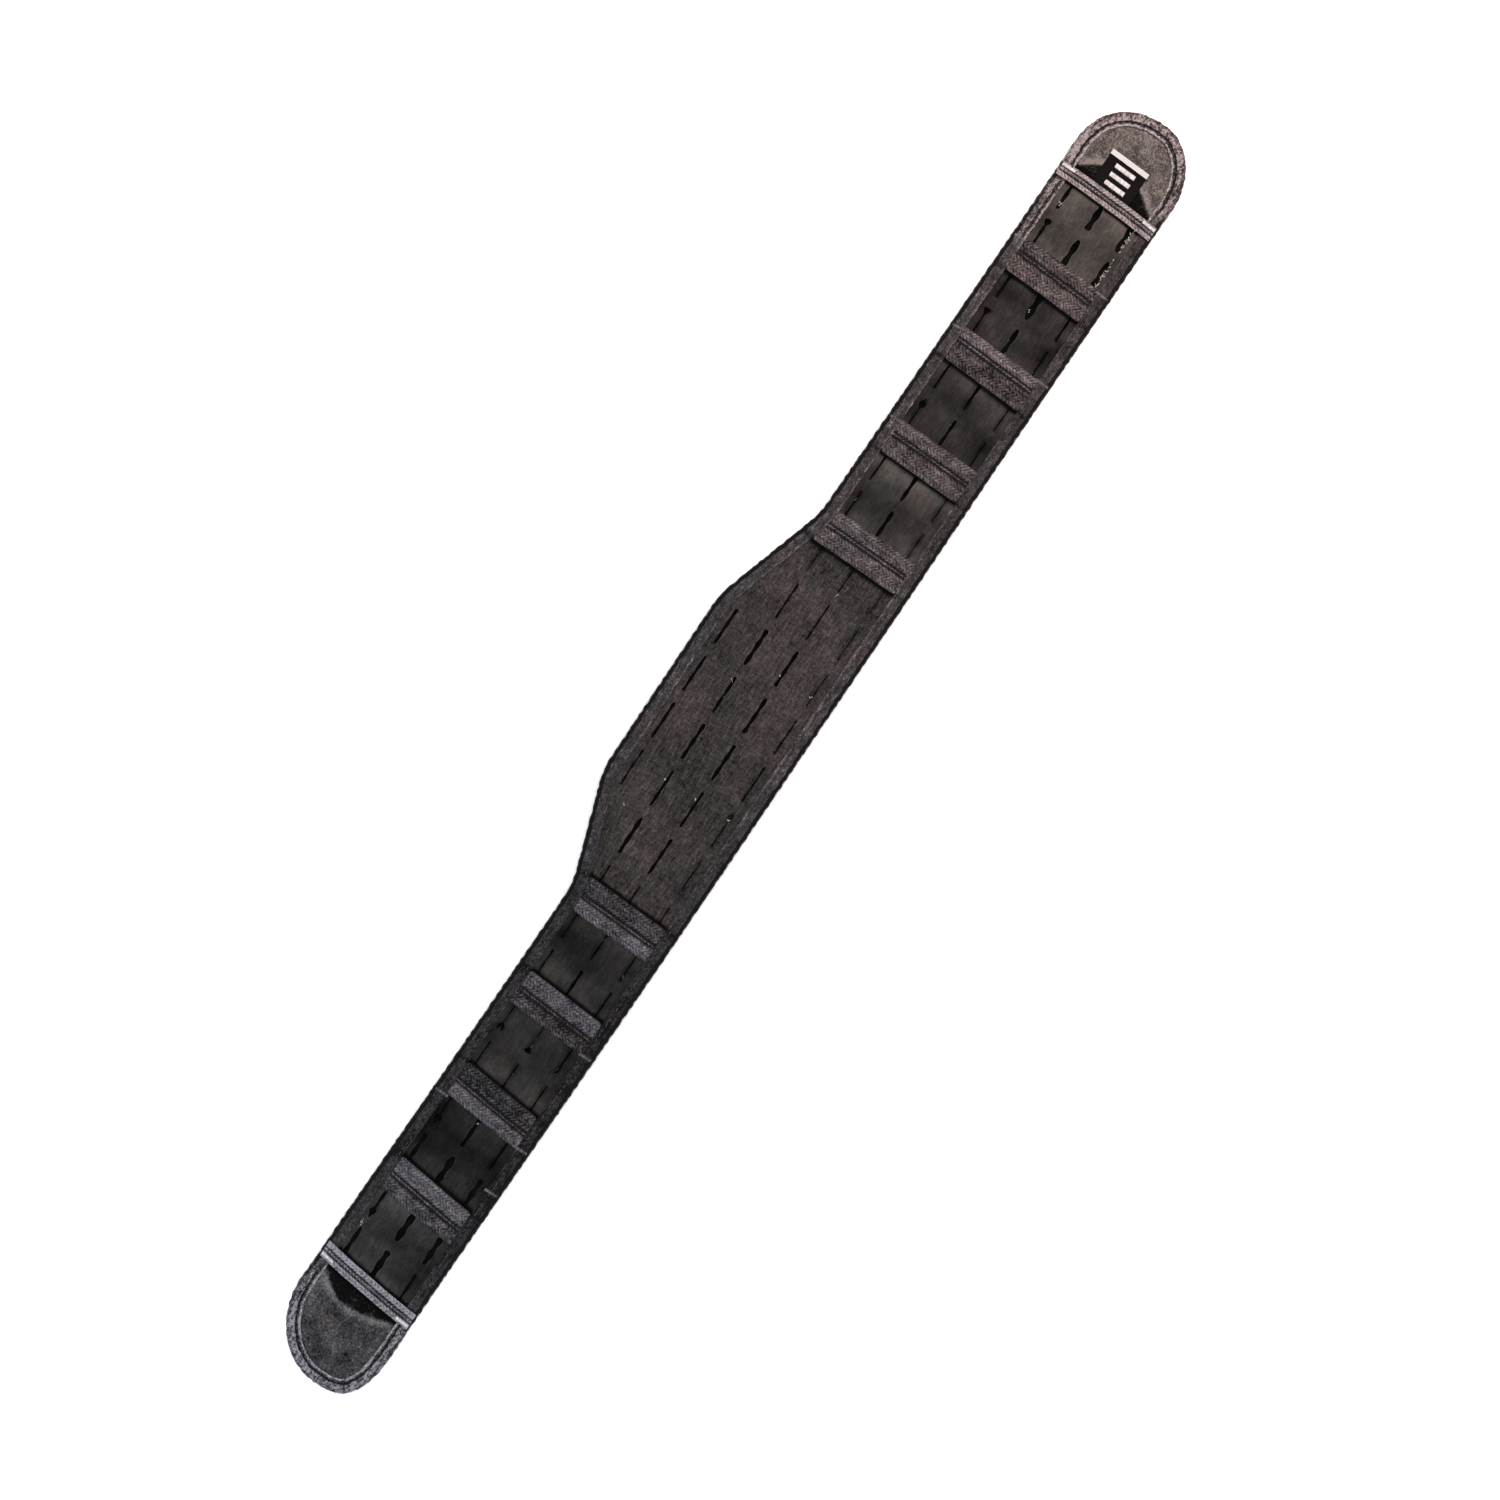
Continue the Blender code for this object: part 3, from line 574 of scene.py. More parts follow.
def closed_rows(numbers):
    """The same grid with each row closed to a ring."""
    return np.hstack((numbers, numbers[:, :1]))


def grid_faces(numbers):
    """Quads between the neighbours in a grid of vertex numbers."""
    corners = (numbers[:-1, :-1], numbers[1:, :-1], numbers[1:, 1:], numbers[:-1, 1:])
    return np.stack(corners, axis=-1).reshape(-1, 4).tolist()


def add_object(name, data):
    """Object with the given data, put in the scene."""
    item = bpy.data.objects.new(name, data)
    bpy.context.scene.collection.objects.link(item)
    return item


def build_piece(name, vertices, faces, weave, material, node=None, thickness=0.0):
    """Piece of the belt; weave holds each vertex's place across and along the cloth, and its paleness:
    partly the cloth's own, partly painted shade and painted highlights.

    With a thickness, the faces are the top of a piece that is closed below by that much.
    """
    mesh = bpy.data.meshes.new(name)
    mesh.from_pydata(np.asarray(vertices).tolist(), [], faces)
    attribute = mesh.attributes.new("weave", "FLOAT_VECTOR", "POINT")
    attribute.data.foreach_set("vector", np.asarray(weave, np.float32).ravel())
    bm = bmesh.new()
    bm.from_mesh(mesh)
    if thickness:
        extruded = bmesh.ops.extrude_face_region(bm, geom=bm.faces[:], use_keep_orig=True)
        lower = [item for item in extruded["geom"] if isinstance(item, bmesh.types.BMVert)]
        bmesh.ops.translate(bm, vec=(0.0, 0.0, -thickness), verts=lower)
    bmesh.ops.recalc_face_normals(bm, faces=bm.faces[:])
    bm.to_mesh(mesh)
    bm.free()
    mesh.materials.append(material)
    mesh.shade_smooth()
    mesh.set_sharp_from_angle(angle=math.radians(SHARP_ANGLE))
    piece = add_object(name, mesh)
    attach(piece, "root")
    if node:
        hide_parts(node)
    return piece


def run_along(path):
    """Distance of each point of a path from its start, along the path."""
    return np.concatenate(([0.0], np.cumsum(np.linalg.norm(np.diff(path, axis=0), axis=1))))


def points_at(path, run, places):
    """Points at distances along a path."""
    return np.column_stack([np.interp(places, run, values) for values in path.T])


def outline():
    """Closed outline, clockwise from the left tip: points, inward directions, places along it, length."""
    (left_start, left_tip, *_), (right_start, right_tip, *_) = CAPS
    turn = np.sin(np.linspace(0.5 * np.pi, 0.0, CAP_POINTS))
    left = left_start + (left_tip - left_start) * turn
    right = right_start + (right_tip - right_start) * turn[::-1]
    x = np.concatenate((left, np.linspace(left_start, right_start, SIDE_POINTS)[1:-1], right))
    upper = np.column_stack((x, edge(x, True)))
    lower = np.column_stack((x, edge(x, False)))
    loop = np.vstack((upper, lower[-2:0:-1], upper[:1]))
    run = run_along(loop)
    count = round(run[-1] / OUTLINE_STEP)
    places = np.arange(count) * run[-1] / count
    points = points_at(loop, run, places)
    along = np.roll(points, -2, axis=0) - np.roll(points, 2, axis=0)
    along /= np.hypot(*along.T)[:, None]
    return points, np.column_stack((along[:, 1], -along[:, 0])), places, run[-1]


OUTLINE, INWARD, OUTLINE_RUN, OUTLINE_LENGTH = outline()


def from_outline(distance):
    """Points at a distance inside the outline."""
    return OUTLINE + INWARD * distance


def nearest_outline(points):
    """Distance from each point to the outline."""
    parts = np.array_split(points, len(points) // OUTLINE_BATCH + 1)
    squares = [((part[:, None] - OUTLINE) ** 2).sum(axis=2).min(axis=1) for part in parts]
    return np.sqrt(np.concatenate(squares))


def fill_points(inset):
    """Points inside the outline, at least the inset from it."""
    found = []
    for left, right, step in FILL_STRETCHES:
        x, y = np.meshgrid(np.arange(left, right, step), np.arange(CAD_BOX[0].y, CAD_BOX[1].y, step))
        x[1::2] += step / 2.0
        found.append(np.column_stack((x.ravel(), y.ravel())))
    points = np.vstack(found)
    x, y = points.T
    points = points[(y > edge(x, False)) & (y < edge(x, True))]
    return points[nearest_outline(points) > inset + CLOTH_STEP * FILL_CLEARANCE]


def fill_loop(loop, points):
    """Triangles that fill a closed loop of points, with the given points inside it."""
    count = len(loop)
    edges = [(index, (index + 1) % count) for index in range(count)]
    flat = [Vector(point) for point in np.vstack((loop, points))]
    vertices, _, faces, *_ = delaunay_2d_cdt(flat, edges, [], FILL_INSIDE, 1e-7)
    return np.array([tuple(vertex) for vertex in vertices]), np.array([tuple(face) for face in faces])


def build_pad(material):
    """Foam pad: a thin rim, a flat underside, and soft ends that swell beyond the mouths."""
    tops = [from_outline(distance) for distance in PAD_RINGS]
    soles = [from_outline(distance) for distance, _ in SOLE_PROFILE]
    inner = tops[-1] + INWARD * CLOTH_STEP
    filled, triangles = fill_loop(inner, fill_points(PAD_RINGS[-1] + CLOTH_STEP))
    flat = np.vstack(tops + [filled] + soles)
    count = len(OUTLINE)
    heights = [pad_height(*ring.T, distance) for ring, distance in zip(tops, PAD_RINGS)]
    heights.append(pad_height(*filled.T, nearest_outline(filled)))
    heights += [np.full(count, height) for _, height in SOLE_PROFILE]
    vertices = np.column_stack((flat, np.concatenate(heights)))
    sole_start = len(tops) * count + len(filled)
    sole_rings = grid_numbers(len(soles), count, sole_start)
    rings = grid_numbers(len(tops) + 1, count)
    faces = (triangles + rings[-1, 0]).tolist()
    for pair in (*zip(rings, rings[1:]), *zip(sole_rings[1:], sole_rings), (sole_rings[0], rings[0])):
        faces += grid_faces(closed_rows(np.stack(pair)).T)
    near = np.arange(count // 2)
    crossing = sole_rings[-1][np.stack((near, -near % count), axis=1)]
    faces += grid_faces(crossing)
    cover = np.where(vertices[:, 2] > SOLE_PROFILE[0][1] + GAP, pad_cover(*flat.T), 1.0)
    weave = np.column_stack((flat, cover))
    piece = build_piece("foam_pad", vertices, faces, weave, material, "base_pad")
    depth = np.minimum(nearest_outline(flat) - TAPE_REACH, beyond_lip(*flat.T) - MOUTH_EDGE)
    swell(piece, (np.arange(len(flat)) < sole_start) * soft_step(depth / SWELL_MARGIN))


def swell(piece, free):
    """Cloth simulation that lets the free part of a piece swell and crease, applied to its mesh."""
    scene = bpy.context.scene
    held = piece.vertex_groups.new(name="held")
    for index, share in enumerate(free):
        held.add([index], 1.0 - float(share), "REPLACE")
    rest = np.array([vertex.co for vertex in piece.data.vertices])
    cloth = piece.modifiers.new("swell", "CLOTH")
    cloth.settings.vertex_group_mass = held.name
    cloth.settings.mass = SWELL_MASS
    cloth.settings.quality = SWELL_QUALITY
    cloth.settings.shrink_min = SWELL_SHRINK
    cloth.settings.bending_stiffness = SWELL_BENDING
    cloth.settings.use_pressure = True
    cloth.settings.uniform_pressure_force = SWELL_PRESSURE
    cloth.settings.effector_weights.gravity = 0.0
    scene.frame_end = SWELL_FRAMES
    for frame_number in range(1, SWELL_FRAMES + 1):
        scene.frame_set(frame_number)
    evaluated = piece.evaluated_get(bpy.context.evaluated_depsgraph_get())
    moved = np.array([vertex.co for vertex in evaluated.data.vertices]) - rest
    length = np.linalg.norm(moved, axis=1)[:, None]
    moved *= np.minimum(1.0, SWELL_LIMIT / np.maximum(length, 1e-9))
    piece.modifiers.remove(cloth)
    scene.frame_set(1)
    piece.data.vertices.foreach_set("co", (rest + moved).ravel())
    piece.data.update()


def tape_sections():
    """Section of the folded tape at every point of the outline: distances from the rim, and heights."""
    def top(distance):
        return tape_top(*from_outline(distance).T, distance)

    fold = RIM_INSET + GAP
    run = 2.0 * math.pi * OUTLINE_RUN
    waves = sum(np.cos(run / pitch + size * np.sin(run / drift)) for pitch, drift, size in SCALLOPS)
    scallop = -SCALLOP_DEPTH * waves - RIM_SWELL * soft_step(beyond_lip(*OUTLINE.T) / RIM_SWELL_LENGTH)
    hem = HEM_WANDER * np.sin(run / HEM_PITCHES[0]) * np.sin(run / HEM_PITCHES[1])
    stitch = np.cos(run / TAPE_STITCH[0])
    seam_depth = TAPE_SEAM_DEPTH[0] - TAPE_SEAM_DEPTH[1] * stitch
    puff = TAPE_PUFF[0] + TAPE_PUFF[1] * stitch
    columns = []
    for distance in np.linspace(TAPE_REACH, fold, TAPE_TOP_STEPS):
        height = top(distance) - seam_depth * hump(distance - TAPE_SEAM, TAPE_SEAM_HALF)
        height = height + puff * hump(distance - 0.5 * TAPE_SEAM, TAPE_PUFF_HALF)
        share = (distance - fold) / (TAPE_REACH - fold)
        columns.append((distance + scallop * (1.0 - share) + hem * share, height))
    rim = columns[-1][1]
    for turn in np.linspace(0.0, math.pi, TAPE_FOLD_STEPS)[1:]:
        height = (rim + TAPE_LOWER_HEIGHT) / 2.0 + (rim - TAPE_LOWER_HEIGHT) / 2.0 * math.cos(turn)
        columns.append((fold * (1.0 - math.sin(turn)) + scallop, height))
    inner = TAPE_LOWER_HEIGHT + TAPE_THICKNESS
    columns += [(TAPE_MIDDLE, TAPE_LOWER_HEIGHT), (TAPE_REACH, TAPE_LOWER_HEIGHT), (TAPE_REACH, inner)]
    columns += [(fold, inner), *TAPE_FOLD_INSIDE]
    columns += [(at, top(at) - TAPE_THICKNESS - GAP / 2.0) for at in (fold, TAPE_MIDDLE, TAPE_REACH)]
    return [np.column_stack(np.broadcast_arrays(*values, run)[:-1]) for values in zip(*columns)]


def build_tape(material):
    """Tape bound round the whole rim, sewn down along its inner edge."""
    distances, heights = tape_sections()
    flat = OUTLINE[:, None] + INWARD[:, None] * distances[:, :, None]
    steps = np.hypot(np.diff(distances, axis=1), np.diff(heights, axis=1))
    across = np.pad(np.cumsum(steps, axis=1), ((0, 0), (1, 0)))
    x, y = OUTLINE.T
    places, upper_wear, lower_wear = zip(*TAPE_WEAR)
    wear = np.where(y > middle(x), np.interp(x, places, upper_wear), np.interp(x, places, lower_wear))
    crease = beside_bands(*from_outline(TAPE_REACH).T, 0.0) * (beyond_lip(x, y) < 0.0)
    # painted shadow beside the bands' inner edges
    wear = wear - TAPE_CREASE_SHADE * crease
    numbers = closed_rows(grid_numbers(*heights.shape))
    faces = grid_faces(closed_rows(numbers.T))
    piece = build_piece(
        "edge_tape", as_points(flat[:, :, 0], flat[:, :, 1], heights), faces,
        as_points(across, OUTLINE_RUN[:, None], wear[:, None]), material, "edge_binding",
    )


def arm_lines(x):
    """Lines along a panel: its lower side, three slot rows and its upper side."""
    lower = edge(x, False)
    rows = (lower + SLOT_FROM_RIM, middle(x), arm_edge(x, True) - SLOT_FROM_RIM)
    shift = np.interp(x, *ROW_SHIFT)
    return [lower + RIM_INSET, *(row + shift for row in rows), edge(x, True) - RIM_INSET * edge_stretch(x)]


def lumbar_lines(x):
    """The same lines with the short fourth slot row above them."""
    lines = arm_lines(x)
    span = BULGE_HEIGHT + SLOPE_END - RIM_INSET
    start = arm_edge(x, True) - SLOPE_END
    lines.insert(-1, start + (lines[-1] - start) * (span - SLOT_FROM_RIM + RIM_INSET) / span)
    return lines


def fine_columns(columns, slotted, width):
    """Fine columns of a panel: x, lean, opening from 0 to 1, and the coarse column that each lies in."""
    radius = width / 2.0
    turns = np.radians((0.0, 30.0, 60.0, 90.0))
    round_end = radius * (1.0 - np.cos(turns))
    rise = np.sin(turns)
    fine = []
    for index, ((left, left_lean), (right, right_lean)) in enumerate(zip(columns, columns[1:])):
        if index in slotted:
            start = left + SLOT_MARGIN
            end = right - SLOT_MARGIN
            straight = np.linspace(start + radius, end - radius, round((end - start) / CLOTH_STEP))[1:-1]
            xs = np.concatenate(([left], start + round_end, straight, (end - round_end)[::-1]))
            opening = np.concatenate(([0.0], rise, np.ones(len(straight)), rise[::-1]))
        else:
            xs = np.linspace(left, right, max(round((right - left) / CLOTH_STEP), 2) + 1)[:-1]
            opening = np.zeros(len(xs))
        share = (xs - left) / (right - left)
        fine += zip(xs, left_lean + (right_lean - left_lean) * share, opening, [index] * len(xs))
    fine.append((*columns[-1], 0.0, len(columns) - 2))
    return [np.array(values) for values in zip(*fine)]


def shape_slots(xs, y, openings, coarse, starts, slots, width):
    """Slots of a panel: sideways shift, lift and paleness of its vertices, and the cut along each slot row.
    The paleness paints a highlight on the fraying lips of open slots and shade along shut ones.
    """
    shift, lift, paleness_sum = np.zeros((3, *y.shape))
    count = coarse[-1] + 2
    cuts = []
    for line, start in enumerate(starts[1:-1], 1):
        gape = np.array([slots.get((column, line), 0.0) for column in coarse])
        phase = random.uniform(0.0, 2.0 * math.pi, count)[coarse]
        uneven = 1.0 + SLOT_UNEVEN * np.sin(2.0 * math.pi * xs / SLOT_UNEVEN_PITCH + phase)
        half = openings * gape * uneven * width / 2.0
        for hole in [place for place, hole_line in SLOT_HOLES if hole_line == line]:
            near = clamp(1.0 - ((xs - hole) / HOLE_RADIUS) ** 2)
            half = np.maximum(half, HOLE_RADIUS * np.sqrt(near) * (openings > 0.5))
        opening = (openings * (gape > 0.0))[:, None]
        shut = opening * clamp(1.0 - gape)[:, None]
        away = y - y[:, start][:, None]
        above = away >= 0.0
        lips = random.uniform(*LIP_LIFT_RANGE, (count, 2))[coarse] * LIP_LIFT * opening
        shift += np.where(above, 1.0, -1.0) * half[:, None] * clamp(1.0 - np.abs(away) / SLOT_SPREAD) ** 2
        lift += np.exp(-np.abs(away) / LIP_REACH) * np.where(above, lips[:, :1], lips[:, 1:])
        lift -= (ROW_PUFF + SLOT_DIP) * hump(away, SLOT_SPREAD)
        # painted highlight on the lips of open slots, which also fray
        paleness_sum += LIP_FRAY_AND_HIGHLIGHT * hump(away, LIP_FRAY_AND_HIGHLIGHT_WIDTH) * (opening - shut)
        # painted shade along the slots that are nearly shut
        paleness_sum -= SLOT_SHADE * hump(away, SLOT_SHADE_WIDTH) * shut
        cuts.append((start, half, lips[:, 1] - lips[:, 0]))
    return shift, lift, paleness_sum, cuts


def build_panel(name, columns, slots, wear, lines, width, material, slot, flat, area=None):
    """Slotted panel: coarse columns of (x, lean), how far slots gape by (column, line), lines along it."""
    xs, leans, openings, coarse = fine_columns(columns, {column for column, _ in slots}, width)
    ys = lines(xs)
    for _ in range(LEANING_ROUNDS):
        ys = [lines(leaning(xs, leans, y))[index] for index, y in enumerate(ys)]
    starts = [0]
    rows = []
    for low, high in zip(ys, ys[1:]):
        count = max(round(float(np.max(high - low)) / CLOTH_STEP), 3)
        rows += [low + (high - low) * step / count for step in range(count)]
        starts.append(len(rows))
    y = np.array(rows + [ys[-1]]).T
    x = leaning(xs[:, None], leans[:, None], y)
    shift, lift, paleness_sum, cuts = shape_slots(xs, y, openings, coarse, starts, slots, width)
    across = (xs - xs[0]) / (xs[-1] - xs[0])
    shown = np.sin(math.pi * across)[:, None] * clamp(rim_distance(x, y) / CROWN)
    crease = beside_bands(x, y, CREASE_UNDER)
    z = on_face(x, y) + lift * clamp(shown * LIP_LIFT_RISE) + (PANEL_RISE + ROW_PUFF) * shown
    z -= CREASE_DEPTH * crease
    # each panel's paleness, with painted shading across it
    left_paleness, middle_paleness, right_paleness = wear
    even = left_paleness + (right_paleness - left_paleness) * across
    even += (middle_paleness - (left_paleness + right_paleness) / 2.0) * np.sin(math.pi * across)
    # painted shadow in the crease beside each band's inner edge
    paleness_sum += even[:, None] - CREASE_SHADE * crease
    below = {}
    lower_lips = []
    lower_weave = []
    for row, half, step in cuts:
        for column in np.nonzero(half > 0.0)[0]:
            place = (column, row)
            below[column * y.shape[1] + row] = y.size + len(lower_lips)
            lower_lips.append((x[place], y[place] - half[column], z[place] + step[column]))
            lower_weave.append((*lower_lips[-1][:2], paleness_sum[place]))
            lips_found.append((lower_lips[-1], (x[place], y[place] + half[column], z[place])))
    faces = []
    for low_left, low_right, high_right, high_left in grid_faces(grid_numbers(*y.shape)):
        high = [below.get(number, number) for number in (high_right, high_left)]
        faces.append([low_left, low_right, *high])
    piece = build_piece(
        name + "_cloth", np.vstack((as_points(x, y + shift, z), lower_lips)), faces,
        np.vstack((as_points(x, y, paleness_sum), lower_weave)), material, name, PANEL_THICKNESS,
    )


def join_gap(band):
    """The gap between two panels under a band: its left end and its right end, each x and lean."""
    near = band.centre + inward(band.centre) * BAND_SEWN_PAST
    far = near + inward(band.centre) * BAND_GAP
    return (min(near, far), band.lean), (max(near, far), band.lean)


def spread_columns(left, right, inner_xs):
    """Columns from the left end to the right end, each (x, lean), with the lean changing evenly."""
    slope = (right[1] - left[1]) / (right[0] - left[0])
    return [left] + [(x, left[1] + slope * (x - left[0])) for x in inner_xs] + [right]


def arm_columns(left_band, right_band):
    """Columns of a panel between two bands, with a bridge at the middle of what shows."""
    left, right = join_gap(left_band)[1], join_gap(right_band)[0]
    left_edge = left_band.centre + left_band.width / 2.0
    right_edge = right_band.centre - right_band.width / 2.0
    if left_band in END_BANDS:
        left = (left_edge - left_band.width + END_BAND_OVERHANG, left_band.lean)
    if right_band in END_BANDS:
        right = (right_edge + right_band.width - END_BAND_OVERHANG, right_band.lean)
    centre = (left_edge + right_edge) / 2.0
    half_bridge = SLOT_BRIDGE / 2.0 - SLOT_MARGIN
    reach = half_bridge + SLOT_LENGTH + 2.0 * SLOT_MARGIN
    first = max(centre - reach, left[0] + SLOT_WALL)
    last = min(centre + reach, right[0] - SLOT_WALL)
    return spread_columns(left, right, (first, centre - half_bridge, centre + half_bridge, last))


def build_panels(arm_cloth, lumbar_cloth):
    """Eight arm panels and the lumbar panel."""
    arm = (arm_lines, ARM_SLOT_WIDTH, arm_cloth, "panel_cloth", ARM_FLAT)
    lumbar = (lumbar_lines, LUMBAR_SLOT_WIDTH, lumbar_cloth, "lumbar_cloth", LUMBAR_FLAT, LUMBAR_AREA)
    left_bands = END_BANDS[:1] + CROSS_BANDS[:4]
    right_bands = CROSS_BANDS[4:] + END_BANDS[1:]
    pairs = [*zip(left_bands, left_bands[1:]), *zip(right_bands, right_bands[1:])]
    places = [(column, line) for line in (1, 2, 3) for column in (1, 3)]
    for index, (left_band, right_band) in enumerate(pairs):
        slots = dict(zip(places, ARM_OPENNESS[index]))
        sides = np.array(OUTER_MIDDLE_INNER_SHADING)[::int(inward(left_band.centre))]
        name = f"arm_panel_{index + 1}"
        build_panel(name, arm_columns(left_band, right_band), slots, PANEL_PALENESS[index] + sides, *arm)
    left, right = join_gap(CROSS_BANDS[3])[1], join_gap(CROSS_BANDS[4])[0]
    half_slot = SLOT_LENGTH / 2.0 + SLOT_MARGIN
    inner_xs = []
    slots = {}
    for index, gapes in enumerate(zip(*LUMBAR_OPENNESS)):
        centre = FIRST_LUMBAR_SLOT + SLOT_PITCH * index
        inner_xs.append(max(centre - half_slot, left[0] + SLOT_WALL))
        inner_xs.append(min(centre + half_slot, right[0] - SLOT_WALL))
        slots |= {(2 * index + 1, line): gape for line, gape in enumerate(gapes, 1) if gape > 0.0}
    build_panel("lumbar_panel", spread_columns(left, right, inner_xs), slots, (LUMBAR_WEAR,) * 3, *lumbar)


def across_belt(band, across, inset, share):
    """Points of a band: a row for each place across it, a column for each share of the belt's width."""
    place = band.centre + inward(band.centre) * across + 0.0 * share
    x = place
    for _ in range(LEANING_ROUNDS):
        low = edge(x, False) + inset
        high = edge(x, True) - inset * edge_stretch(x)
        y = low + (high - low) * share
        x = leaning(place, band.lean, y)
    return x, y


def seam_furrows(band, across):
    """Depth from 0 to 1 of the two furrows that a double row of stitches pulls into a band."""
    return hump(np.abs(across + band.seam) - SEAM_ROWS_APART / 2.0, SEAM_GROOVE_HALF)


def band_height(band, across, x, y, share=0.0):
    """Height of a band's outer side; an end band steps up onto the edge tape, a cross band lifts inward."""
    height = on_face(x, y) + GAP + BAND_THICKNESS - SEAM_GROOVE * seam_furrows(band, across)
    height = height + RIB_HEIGHT * np.cos(2.0 * math.pi * across / RIB_PITCH)
    if band in END_BANDS:
        beside_tape = soft_step((rim_distance(x, y) - TAPE_REACH - GAP) / END_BAND_STEP)
        return height + (GAP + TAPE_THICKNESS) * (1.0 - beside_tape)
    half = band.width / 2.0
    turns = BAND_WAVE_TURNS[0] * share + BAND_WAVE_TURNS[1] * band.centre
    wave = BAND_WAVE[0] + BAND_WAVE[1] * np.sin(2.0 * math.pi * turns)
    free = BAND_FREE_LIFT * wave * clamp((across + band.seam) / (half + band.seam)) ** BAND_FREE_POWER
    sewn = SEWN_PUFF * np.sin(math.pi * clamp((across + half) / (half - band.seam)))
    return height + free + sewn - JOIN_SAG * hump(across - BAND_SEWN_PAST - BAND_GAP / 2.0, BAND_GAP)


def build_band(band, material):
    """Webbing band across the belt; notes the paths of its rows of stitches."""
    crossing = band in CROSS_BANDS
    columns, rows = CROSS_BAND_GRID if crossing else END_BAND_GRID
    inset = BAND_INSET if crossing else RIM_INSET
    half = band.width / 2.0
    across = np.linspace(-half, half, columns)[:, None]
    share = np.linspace(0.0, 1.0, rows)
    corner = clamp((across - half) / BAND_CORNER + 1.0) * crossing
    x, y = across_belt(band, across, inset + BAND_CORNER * (1.0 - np.sqrt(1.0 - corner**2)), share)
    outer, inner = band.wear[::int(inward(band.centre))]
    wear = outer + (inner - outer) * soft_step((across + band.seam) / SEAM_ROWS_APART + 0.5)
    # painted highlight on the ridge between the seam furrows, painted shade in them
    wear = wear + SEAM_RIDGE_HIGHLIGHT * hump(across + band.seam, SEAM_GROOVE_HALF)
    wear = wear - FURROW_SHADE * seam_furrows(band, across)
    if not crossing:
        wear = wear + END_BAND_RIM_PALENESS * (1.0 - soft_step(rim_distance(x, y) / TAPE_REACH))
    along = np.pad(np.cumsum(np.hypot(np.diff(x), np.diff(y)), axis=1), ((0, 0), (1, 0)))
    piece = build_piece(
        band.name + "_webbing", as_points(x, y, band_height(band, across, x, y, share)),
        grid_faces(grid_numbers(*x.shape)), as_points(across, along, wear), material, band.name,
        BAND_THICKNESS,
    )
    seams = np.array((-0.5, 0.5) if crossing else (0.0,))[:, None] * SEAM_ROWS_APART - band.seam
    x, y = across_belt(band, seams, inset + BAND_STITCH_INSET, share)
    z = band_height(band, seams, x, y, share) + BAND_STITCH_LIFT
    band_seams.extend(np.stack((x, y, z), axis=2))


def tag_place(beyond, y):
    """Point of the tag's outer side at a distance beyond the lip."""
    band = END_BANDS[1]
    turn = beyond / TAG_WAVE_PITCHES[0] + y / TAG_WAVE_PITCHES[1]
    wave = TAG_WAVE * np.sin(turn) * clamp(beyond / TAG_WAVE_START)
    height = np.interp(beyond, *zip(*TAG_PROFILE)) + TAG_THICKNESS + wave
    return leaning(band.centre + band.width / 2.0 + beyond, band.lean, y), y, height


def build_tag(material):
    """Cloth tag that comes out under the right end band and lies over the mouth."""
    rows, columns = TAG_GRID
    beyond = np.linspace(TAG_PROFILE[0][0], TAG_PROFILE[-1][0], columns)
    across = np.linspace(-TAG_WIDTH / 2.0, TAG_WIDTH / 2.0, rows)[:, None]
    vertices = as_points(*tag_place(beyond, TAG_CENTRE_Y + across))
    piece = build_piece(
        "plain_tag", vertices, grid_faces(grid_numbers(*TAG_GRID)), as_points(beyond, across, 0.0), material,
        "woven_tag", TAG_THICKNESS,
    )


def build_threads(name, threads, radius, arch, material):
    """Many short threads as one mesh: each a bent round bar from its start to its end, each of a random
    paleness.
    """
    starts, ends = np.asarray(threads).transpose(1, 0, 2)
    length = np.linalg.norm(ends - starts, axis=1)[:, None]
    along = (ends - starts) / length
    side = np.cross((0.0, 0.0, 1.0), along)
    side /= np.linalg.norm(side, axis=1)[:, None]
    up = np.cross(along, side)
    wear = random.uniform(0.0, 1.0, len(starts))
    vertices = []
    weave = []
    for share, width in THREAD_SECTIONS:
        rise = radius * arch * (1.0 - (2.0 * share - 1.0) ** 2) * 2.0
        centre = starts + along * length * share + up * rise
        for turn in np.radians(np.arange(THREAD_SIDES) * 360.0 / THREAD_SIDES):
            vertices.append(centre + radius * width * (side * math.cos(turn) + up * math.sin(turn)))
            weave.append(as_points(turn * radius, length[:, 0] * share, wear))
    numbers = grid_numbers(len(THREAD_SECTIONS), THREAD_SIDES)
    bar = grid_faces(closed_rows(numbers).T) + [numbers[0][::-1].tolist(), numbers[-1].tolist()]
    firsts = numbers.size * np.arange(len(starts))
    faces = [[first + corner for corner in face] for first in firsts.tolist() for face in bar]
    vertices, weave = (np.stack(values, axis=1).reshape(-1, 3) for values in (vertices, weave))
    build_piece(name, vertices, faces, weave, material)


def stitches_on(paths, pitch, length):
    """Stitches at even steps along paths of points, a little uneven as sewn ones are."""
    stitches = []
    for path in paths:
        run = run_along(path)
        places = np.arange(0.5 * (pitch - length), run[-1] - length, pitch)
        places += random.uniform(-STITCH_UNEVEN, STITCH_UNEVEN, len(places)) * pitch
        both = np.stack([points_at(path, run, places + shift) for shift in (0.0, length)])
        both[:, :, :2] += random.normal(0.0, STITCH_WANDER, (2, len(places), 2))
        stitches.append(both.transpose(1, 0, 2))
    return np.vstack(stitches)


def tape_path(distance):
    """Path on the edge tape at a distance from the rim, round the whole outline."""
    points = from_outline(distance)
    return np.column_stack((points, tape_top(*points.T, distance)))


